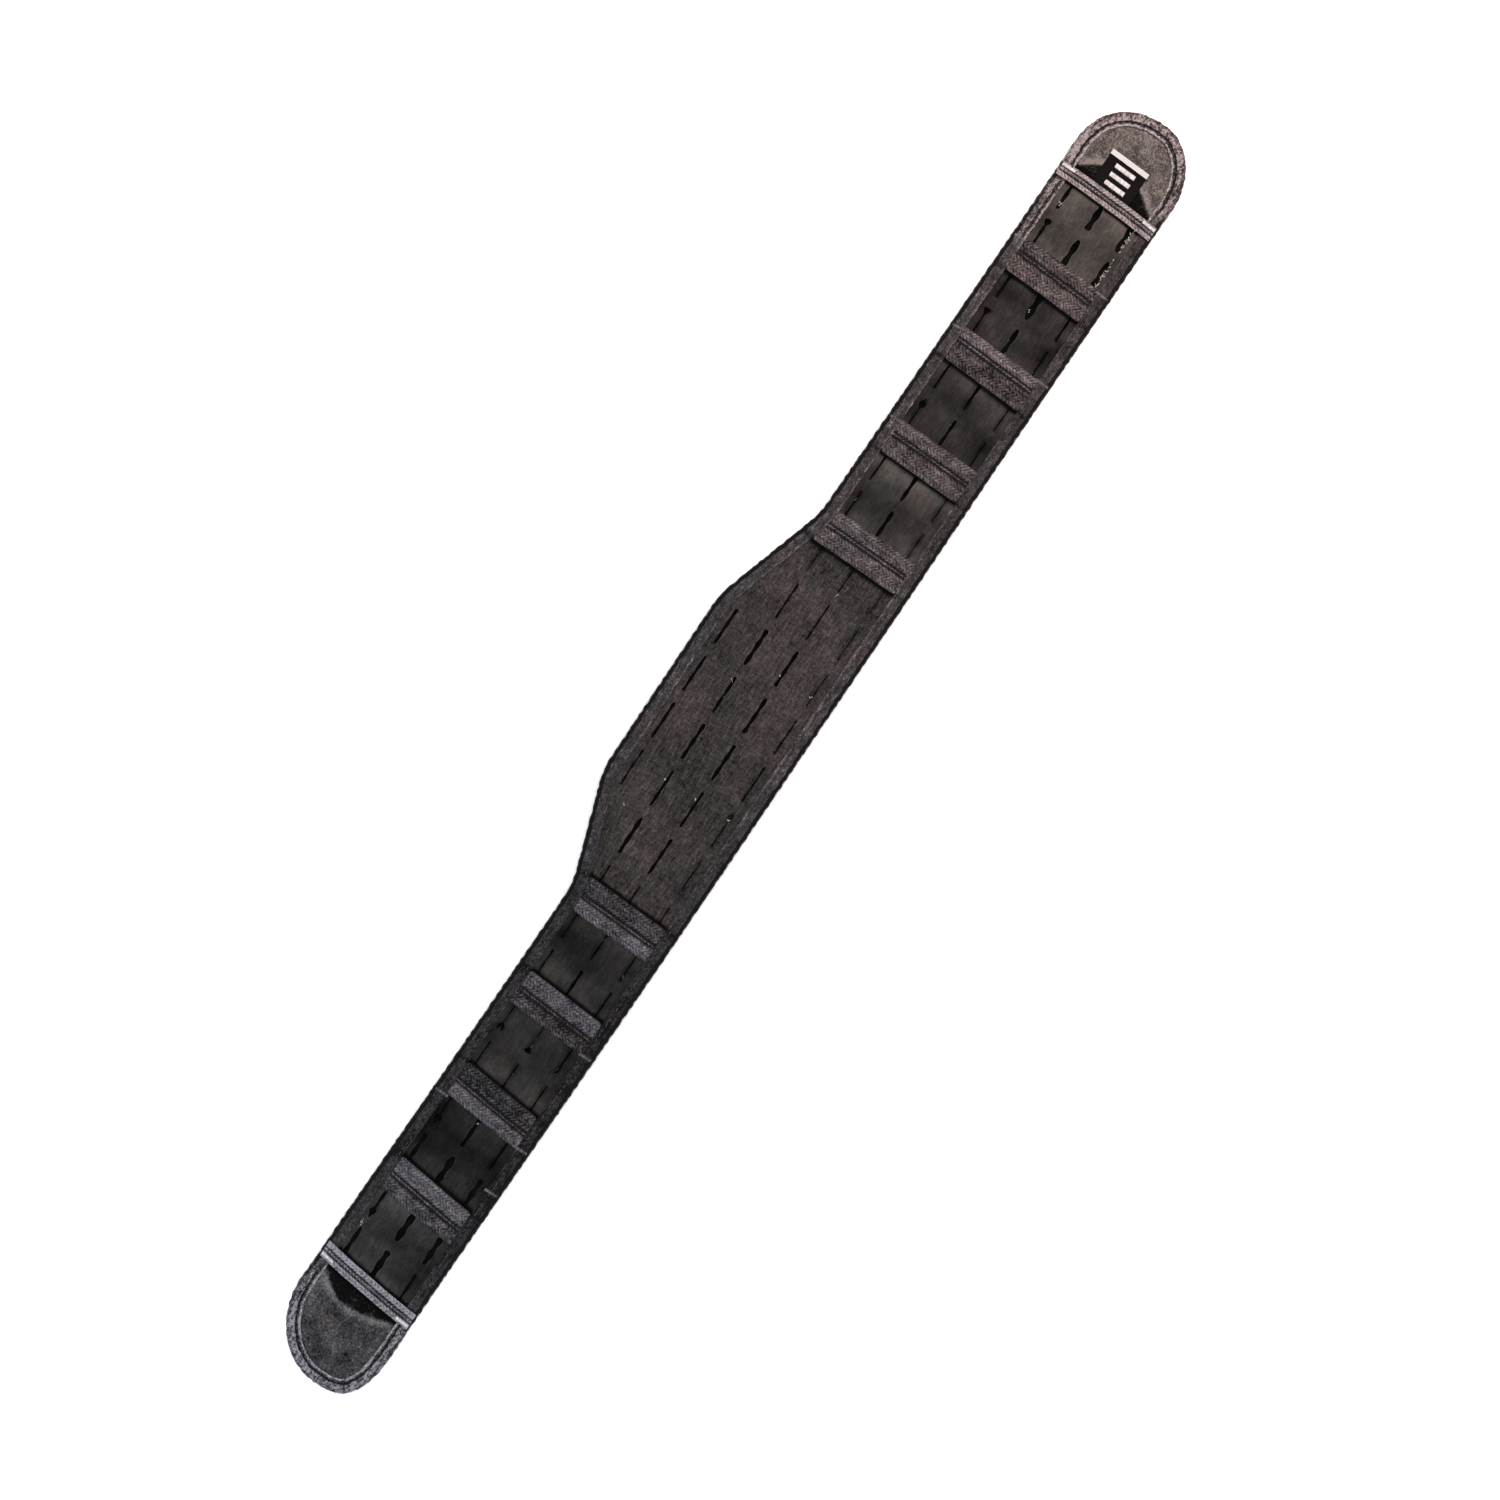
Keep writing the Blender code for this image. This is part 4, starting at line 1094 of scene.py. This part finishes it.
def tape_stitches():
    """Stitches that hold the edge tape."""
    path = tape_path(TAPE_SEAM) - (0.0, 0.0, TAPE_STITCH_DIP)
    return stitches_on([np.vstack((path, path[:1]))], *TAPE_STITCH)


def end_stitches():
    """Second row of stitches, along the tape's inner edge on the two ends."""
    path = tape_path(CAP_SEAM)
    paths = []
    for side, turned in ((1.0, 0), (-1.0, len(path) // 2)):
        rolled = np.roll(path, turned, axis=0)
        x, y, _ = rolled.T
        paths.append(rolled[(beyond_lip(x, y) > 0.0) & (side * x > 0.0)])
    return stitches_on(paths, *BAND_STITCH)


def bartack_ys(x, upper):
    """Places of the threads of a short dense seam that runs in from the rim."""
    distances = np.arange(0.0, BARTACK_LENGTH, BARTACK_PITCH) + BARTACK_FROM_RIM
    return edge(x, upper) + distances * (-edge_stretch(x) if upper else 1.0)


def tape_bartacks():
    """Threads of the short dense seams that cross the tape beside the bands."""
    threads = []
    for centre, upper in BARTACKS:
        for y in bartack_ys(centre, upper):
            xs = centre + np.array(BARTACK_SIDES)
            threads.append([(x, y, tape_top(x, y, rim_distance(x, y)) + THREAD_LIFT) for x in xs])
    threads = np.array(threads)
    threads[:, :, 1] += random.normal(0.0, BARTACK_WANDER, threads.shape[:2])
    return threads


def corner_bartacks():
    """Threads of the short dense seams at the corners of the end bands."""
    threads = []
    for band, place in zip(END_BANDS, CORNER_BARTACKS):
        for y in np.concatenate([bartack_ys(band.centre, upper) for upper in (True, False)]):
            across = place + np.array(BARTACK_SIDES)
            x = leaning(band.centre + inward(band.centre) * across, band.lean, y)
            threads.append(as_points(x, y, band_height(band, across, x, y) + THREAD_LIFT))
    return threads


def slot_fibres():
    """Frayed fibres along the lips of the slots."""
    places = random.integers(0, len(lips_found) - 2, SLOT_FIBRES)
    sides = random.integers(0, 2, SLOT_FIBRES)
    starts = np.array(lips_found)[places, sides] + (0.0, 0.0, LINT_RADIUS)
    turn = random.normal(0.0, SLOT_FIBRE_TURN, SLOT_FIBRES)
    length = random.uniform(*SLOT_FIBRE_LENGTH, SLOT_FIBRES)
    along = as_points(np.cos(turn), np.sin(turn), SLOT_FIBRE_RISE)
    return np.stack((starts, starts + along * length[:, None]), axis=1)


def tag_bars():
    """Threads of three plain bars on the tag."""
    ys = np.arange(*TAG_BAR_SPAN, TAG_BAR_PITCH)
    sides = np.array((-0.5, 0.5)) * TAG_BAR_WIDTH
    threads = [as_points(*tag_place(beyond + sides, y)) for beyond in TAG_BARS for y in ys]
    return np.array(threads) + (0.0, 0.0, THREAD_LIFT)


def lint():
    """A few stray fibres."""
    threads = []
    for x, y, spread, count in LINT:
        for _ in range(count):
            near = (x, y) + random.normal(0.0, 1.0, 2) * (spread, LINT_SPREAD)
            turn = random.normal(0.0, LINT_TURN)
            far = near + np.array((math.cos(turn), math.sin(turn))) * random.uniform(*LINT_LENGTH)
            threads.append([(*point, on_face(*point) + LINT_LIFT) for point in (near, far)])
    return threads


def band_stitches():
    """Stitches of the webbing bands."""
    return stitches_on(band_seams, *BAND_STITCH)


def build_all_threads():
    """All the visible threads."""
    materials = {name: thread_material(name, *looks) for name, looks in THREADS.items()}
    groups = (
        # name, what finds them, radius, arch, material, slot
        ("end_stitches", end_stitches, 0.00034, 0.3, "grey_thread", "edge_tape"),
        ("corner_bartacks", corner_bartacks, 0.00034, 0.5, "white_thread", "webbing"),
        ("slot_fibres", slot_fibres, LINT_RADIUS, 0.3, "grey_fibre", "panel_cloth"),
        ("tape_stitches", tape_stitches, 0.00026, 0.3, "dark_thread", "edge_tape"),
        ("bartacks", tape_bartacks, 0.00025, 0.5, "pale_thread", "webbing"),
        ("tag_bars", tag_bars, 0.00024, 0.6, "white_thread", "tag_cloth"),
        ("lint", lint, LINT_RADIUS, 0.3, "pale_fibre", "panel_cloth"),
        ("band_stitches", band_stitches, 0.00027, 0.3, "black_thread", "webbing"),
    )
    for name, find, radius, arch, thread, slot in groups:
        build_threads(name, find(), radius, arch, materials[thread])


class Cloth:
    """Material for cloth, built up from noises and weaves."""

    def __init__(self, name, sheen=0.0, sheen_tint=(1.0, 1.0, 1.0)):
        self.material = bpy.data.materials.new(name)
        self.material.use_nodes = True
        self.tree = self.material.node_tree
        self.shader = self.tree.nodes["Principled BSDF"]
        self.shader.inputs["Roughness"].default_value = CLOTH_ROUGHNESS
        self.shader.inputs["Sheen Weight"].default_value = sheen
        self.shader.inputs["Sheen Roughness"].default_value = SHEEN_ROUGHNESS
        self.shader.inputs["Sheen Tint"].default_value = (*sheen_tint, 1.0)
        self.shader.inputs["Specular IOR Level"].default_value = CLOTH_SPECULAR
        self.place = self.node("TexCoord").outputs["Object"]
        weave = self.node("Attribute", attribute_name="weave").outputs["Vector"]
        self.across, self.along, self.wear = self.node("SeparateXYZ", {"Vector": weave}).outputs
        self.x, self.y, _ = self.node("SeparateXYZ", {"Vector": self.place}).outputs
        self.normal = None

    def node(self, kind, inputs=None, **settings):
        """Node with its settings; inputs are values or other nodes' outputs, by name or number."""
        node = self.tree.nodes.new("ShaderNode" + kind)
        for name, value in settings.items():
            setattr(node, name, value)
        for name, value in (inputs or {}).items():
            if isinstance(value, bpy.types.NodeSocket):
                self.tree.links.new(value, node.inputs[name])
            else:
                node.inputs[name].default_value = value
        return node

    def maths(self, operation, first, second=0.0, third=0.0):
        """One sum of two or three values."""
        return self.node("Math", {0: first, 1: second, 2: third}, operation=operation).outputs[0]

    def span(self, value, low, high, start=0.0, end=1.0):
        """Value that goes from start to end while the given one goes from low to high."""
        inputs = {"Value": value, "From Min": low, "From Max": high, "To Min": start, "To Max": end}
        return self.node("MapRange", inputs).outputs["Result"]

    def noise(self, size, detail=3.0, stretch=(1.0, 1.0, 1.0)):
        """Noise with spots about as large as size in metres, from 0 to 1."""
        scale = tuple(factor / size for factor in stretch)
        place = self.node("Mapping", {"Vector": self.place, "Scale": scale}).outputs["Vector"]
        inputs = {"Vector": place, "Scale": 1.0, "Detail": detail, "Roughness": NOISE_ROUGHNESS}
        return self.node("TexNoise", inputs).outputs["Fac"]

    def wave(self, place, pitch, shift=0.0):
        """Sine along a coordinate, from -1 to 1."""
        return self.maths("SINE", self.maths("MULTIPLY_ADD", place, 2.0 * math.pi / pitch, shift))

    def plain_weave(self, pitch):
        """Over and under of a plain weave in the belt's own plane, from -1 to 1."""
        return self.maths("MULTIPLY", self.wave(self.x, pitch), self.wave(self.y, pitch))

    def blend(self, *parts):
        """Sum of values by their weights, about 0.5."""
        total = 0.5
        for value, weight in parts:
            total = self.maths("MULTIPLY_ADD", self.maths("SUBTRACT", value, 0.5), weight, total)
        return total

    def paleness_sum(self, *parts):
        """The same sum with the paleness of each place, which holds painted shade and painted highlights
        besides the cloth's own tone.
        """
        return self.maths("ADD", self.wear, self.blend(*parts))

    def ramp(self, factor, stops):
        """Colour from a factor; each stop is a place and a linear colour."""
        ramp = self.node("ValToRGB", {"Fac": factor})
        elements = ramp.color_ramp.elements
        while len(elements) < len(stops):
            elements.new(0.5)
        for element, (place, *colour) in zip(elements, stops):
            element.position = place
            element.color = (*colour, 1.0)
        return ramp.outputs["Color"]

    def colour(self, factor, *stops, tint=None):
        """Base colour; a tint holds a noise's size and growth along the belt, a cool and a warm colour. The
        noise varies the tone at random; the growth along the belt paints a cool cast of light on the left
        and a warm one on the right.
        """
        base = self.ramp(factor, stops)
        if tint:
            size, slope, cool, warm = tint
            # tone at random, plus a painted cast of light: cool to the left, warm to the right
            tone_and_light_warmth = self.maths("MULTIPLY_ADD", self.x, slope, self.noise(size, 2.0))
            tints = [(stop, *shade) for stop, shade in zip(TINT_STOPS, (cool, warm))]
            inputs = {0: 1.0, 6: base, 7: self.ramp(tone_and_light_warmth, tints)}
            base = self.node("Mix", inputs, data_type="RGBA", blend_type="MULTIPLY").outputs[2]
        self.tree.links.new(base, self.shader.inputs["Base Color"])

    def roughness(self, factor, low, high):
        """Roughness that follows a factor."""
        self.tree.links.new(self.span(factor, 0.0, 1.0, low, high), self.shader.inputs["Roughness"])

    def bump(self, *reliefs):
        """Reliefs, each a height and its depth in metres, one on top of the other."""
        for height, distance in reliefs:
            inputs = {"Height": height, "Distance": distance, "Strength": 1.0}
            if self.normal is not None:
                inputs["Normal"] = self.normal
            self.normal = self.node("Bump", inputs).outputs["Normal"]
        self.tree.links.new(self.normal, self.shader.inputs["Normal"])


def arm_material():
    """Smooth laminated cloth of the arm panels."""
    cloth = Cloth("arm_laminate", 0.02, (1.0, 0.97, 0.90))
    weave = cloth.plain_weave(0.0012)
    fine = cloth.noise(0.0012)
    soft = cloth.noise(0.026, 2.0, (1.0, 0.5, 1.0))
    grain = cloth.noise(0.0018, 3.0, (0.25, 1.0, 1.0))
    factor = cloth.paleness_sum((soft, 1.1), (cloth.noise(0.006), 0.35), (fine, 0.45), (grain, 0.5), (weave, 0.04))
    cloth.colour(
        factor, (0.0, 0.002, 0.002, 0.002), (0.25, 0.0075, 0.0075, 0.0075), (0.5, 0.018, 0.0175, 0.0172),
        (0.75, 0.035, 0.0335, 0.0325), (1.0, 0.062, 0.059, 0.057),
        tint=(0.028, 0.5, (0.98, 1.0, 0.99), (1.06, 0.97, 0.94)),
    )
    cloth.roughness(cloth.noise(0.008), 0.50, 0.72)
    cloth.bump((weave, 0.00006), (fine, 0.00010), (soft, 0.0004))
    return cloth.material


def lumbar_material():
    """Finely woven cloth of the lumbar panel."""
    cloth = Cloth("lumbar_weave", 0.06, (1.0, 0.95, 0.92))
    weave = cloth.plain_weave(0.0013)
    fine = cloth.noise(0.0013)
    soft = cloth.noise(0.035, 3.0)
    weft = cloth.noise(0.0016, 2.0, (0.22, 1.0, 1.0))
    warp = cloth.noise(0.0016, 2.0, (1.0, 0.22, 1.0))
    factor = cloth.paleness_sum((soft, 0.7), (weft, 1.0), (warp, 0.6), (fine, 1.2), (weave, 0.08))
    cloth.colour(
        factor, (0.0, 0.003, 0.003, 0.003), (0.1, 0.011, 0.010, 0.010), (0.5, 0.036, 0.0325, 0.0325),
        (0.9, 0.080, 0.073, 0.072), tint=(0.032, 0.3, (0.95, 1.0, 0.97), (1.06, 0.95, 0.96)),
    )
    cloth.roughness(fine, 0.72, 0.90)
    cloth.bump((weave, 0.00012), (weft, 0.00014), (fine, 0.00010), (soft, 0.0005))
    return cloth.material


def webbing_material():
    """Nylon webbing with a chevron weave, mottled by use, with painted shade in the seam furrows and a
    painted highlight on the ridge between them.
    """
    cloth = Cloth("nylon_webbing", 0.15, (0.95, 0.93, 1.0))
    zigzag = cloth.maths("PINGPONG", cloth.across, WEBBING_CHEVRON)
    weave = cloth.wave(cloth.maths("ADD", cloth.along, zigzag), WEBBING_PITCH)
    ribs = cloth.wave(cloth.across, RIB_PITCH, math.pi / 2.0)
    blotches = cloth.noise(0.0022, 2.0)
    fine = cloth.noise(0.0013)
    streaks = cloth.noise(0.0020, 2.0, (1.0, 0.25, 1.0))
    factor = cloth.paleness_sum(
        (blotches, 0.9), (streaks, 0.8), (cloth.noise(0.012), 0.6), (fine, 0.7), (weave, 0.12), (ribs, 0.05),
    )
    cloth.colour(
        factor, (0.1, 0.004, 0.004, 0.004), (0.5, 0.055, 0.049, 0.052), (0.8, 0.125, 0.114, 0.120),
        (1.0, 0.230, 0.216, 0.230), tint=(0.022, 0.5, (0.94, 0.98, 1.05), (1.06, 0.97, 0.95)),
    )
    cloth.roughness(fine, 0.60, 0.85)
    cloth.bump((weave, 0.00022), (fine, 0.00012))
    return cloth.material


def tape_material():
    """Ribbed binding tape, mottled by use, with painted shade over the fold and in the furrow at its seam,
    and a painted highlight at the hem.
    """
    cloth = Cloth("ribbed_tape", 0.14, (0.95, 0.93, 1.0))
    ribs = cloth.wave(cloth.along, TAPE_RIB_PITCH)
    blotches = cloth.noise(0.0026, 2.0)
    fine = cloth.noise(0.0012)
    ends = cloth.span(cloth.wear, 0.18, 0.30)
    streaks = cloth.noise(0.0022, 2.0, (0.3, 1.0, 1.0))
    broad = cloth.noise(0.015)
    mottled = cloth.blend((blotches, 0.7), (streaks, 0.6), (broad, 0.6), (fine, 1.0), (ribs, 0.06))
    factor = cloth.paleness_sum((mottled, cloth.span(ends, 0.0, 1.0, 1.15, 2.3)))
    # painted shade over the fold
    fold_shade = cloth.span(cloth.across, *TAPE_FOLD)
    fold_shade = cloth.maths("MULTIPLY", fold_shade, cloth.span(cloth.noise(0.007, 2.0), 0.40, 0.60, 0.5, 1.3))
    fold_shade = cloth.maths("MULTIPLY", fold_shade, cloth.span(ends, 0.0, 1.0, 1.0, 0.2))
    factor = cloth.maths("MULTIPLY_ADD", fold_shade, -1.3, factor)
    # painted highlight along the hem
    hem = cloth.span(cloth.across, *TAPE_HEM, TAPE_HEM_HIGHLIGHT, 0.0)
    factor = cloth.maths("MULTIPLY_ADD", hem, cloth.span(cloth.wear, -0.08, 0.05), factor)
    # painted shade in the furrow at the seam
    away = cloth.maths("ABSOLUTE", cloth.maths("SUBTRACT", cloth.across, TAPE_FURROW))
    furrow = cloth.span(away, 0.0, TAPE_FURROW_HALF, -1.0, 0.0)
    factor = cloth.maths("MULTIPLY_ADD", furrow, cloth.span(ends, 0.0, 1.0, 0.12, 1.82), factor)
    cloth.colour(
        factor, (0.05, 0.003, 0.003, 0.003), (0.5, 0.037, 0.034, 0.0355), (0.8, 0.096, 0.089, 0.093),
        (1.0, 0.240, 0.226, 0.236), tint=(0.020, 0.5, (0.94, 0.98, 1.04), (1.06, 0.96, 0.95)),
    )
    cloth.roughness(fine, 0.65, 0.88)
    cloth.bump((ribs, 0.00020), (fine, 0.00010))
    return cloth.material


def pad_material():
    """Soft cloth over the foam pad, dark as a lining where its paleness is low: darker cloth with painted
    shade inside the tunnel.
    """
    cloth = Cloth("foam_cover", 0.12, (1.0, 0.97, 0.95))
    weave = cloth.plain_weave(0.0016)
    fine = cloth.noise(0.0014)
    soft = cloth.noise(0.014, 3.0)
    factor = cloth.blend((soft, 1.0), (cloth.noise(0.0032), 0.6), (fine, 1.7), (weave, 0.08))
    factor = cloth.maths("MULTIPLY_ADD", cloth.maths("SUBTRACT", cloth.wear, 1.0), 1.3, factor)
    cloth.colour(
        factor, (0.0, 0.002, 0.002, 0.002), (0.12, 0.014, 0.0135, 0.0135), (0.5, 0.043, 0.041, 0.0415),
        (0.95, 0.130, 0.123, 0.121), tint=(0.018, 0.4, (0.97, 0.98, 1.02), (1.05, 0.97, 0.91)),
    )
    cloth.roughness(fine, 0.82, 0.97)
    cloth.bump((weave, 0.00012), (fine, 0.00014), (soft, 0.0006))
    return cloth.material


def tag_material():
    """Dark satin cloth with a white woven line at the tag's far end."""
    cloth = Cloth("satin_tag", 0.02)
    weft = cloth.wave(cloth.along, 0.0005)
    fine = cloth.noise(0.0006)
    dark = cloth.blend((fine, 0.25), (cloth.noise(0.004), 0.2), (weft, 0.02))
    line = cloth.maths("GREATER_THAN", cloth.across, TAG_LINE_START)
    factor = cloth.maths("MULTIPLY_ADD", line, 0.55, cloth.maths("MULTIPLY", dark, 0.5))
    cloth.colour(
        factor, (0.15, 0.002, 0.002, 0.002), (0.38, 0.005, 0.0045, 0.0045), (0.72, 0.36, 0.35, 0.36),
        (0.9, 0.50, 0.49, 0.50),
    )
    cloth.roughness(fine, 0.65, 0.85)
    cloth.bump((weft, 0.00006))
    return cloth.material


def thread_material(name, dark, bright, roughness):
    """Twisted thread."""
    cloth = Cloth(name, 0.2)
    twist = cloth.wave(cloth.maths("MULTIPLY_ADD", cloth.across, 0.8, cloth.along), THREAD_TWIST)
    factor = cloth.blend((cloth.wear, 0.8), (twist, 0.15), (cloth.noise(0.002), 0.5))
    cloth.colour(factor, (0.1, *dark), (0.9, *bright))
    cloth.roughness(cloth.noise(0.001), roughness - 0.1, roughness + 0.1)
    cloth.bump((twist, 0.00005))
    return cloth.material


def floor_material():
    """Plain pale floor."""
    cloth = Cloth("pale_floor")
    cloth.colour(cloth.blend((cloth.noise(0.4), 0.1)), (0.3, 0.88, 0.88, 0.88), (0.7, 0.90, 0.90, 0.90))
    return cloth.material


def build_floor():
    """Floor under the belt, no part of it."""
    mesh = bpy.data.meshes.new("studio_floor")
    signs = ((-1.0, -1.0), (1.0, -1.0), (1.0, 1.0), (-1.0, 1.0))
    mesh.from_pydata([(x * FLOOR_HALF, y * FLOOR_HALF, FLOOR_HEIGHT) for x, y in signs], [], [(0, 1, 2, 3)])
    mesh.materials.append(floor_material())
    add_object("studio_floor", mesh)


def add_lights():
    """Soft studio lights and an even pale surrounding."""
    for name, place, target, size, power, colour in LIGHTS:
        data = bpy.data.lights.new(name, "AREA")
        data.shape = "DISK"
        data.size = size
        data.energy = power
        data.color = colour
        light = add_object(name, data)
        light.location = place
        light.rotation_euler = (Vector(target) - Vector(place)).to_track_quat("-Z", "Y").to_euler()
        light.visible_camera = False
    world = bpy.data.worlds.new("pale_surrounding")
    world.use_nodes = True
    background = world.node_tree.nodes["Background"]
    background.inputs["Color"].default_value = WORLD_COLOUR
    background.inputs["Strength"].default_value = WORLD_STRENGTH
    bpy.context.scene.world = world


def add_camera():
    """Camera straight above the belt, turned as the photograph is."""
    data = bpy.data.cameras.new("photo_camera")
    data.lens = LENS
    data.sensor_width = SENSOR
    camera = add_object("photo_camera", data)
    camera.location = (*VIEW_CENTRE, VIEW_HEIGHT + LENS / SENSOR * VIEW_WIDTH)
    camera.rotation_euler = (0.0, 0.0, math.atan2(VIEW_RIGHT[1], VIEW_RIGHT[0]))
    bpy.context.scene.camera = camera


build_pad(pad_material())
build_tape(tape_material())
build_panels(arm_material(), lumbar_material())
webbing = webbing_material()
for each_band in CROSS_BANDS + END_BANDS:
    build_band(each_band, webbing)
build_tag(tag_material())
build_all_threads()
build_floor()
add_lights()
add_camera()
bpy.context.scene.view_settings.view_transform = "Standard"
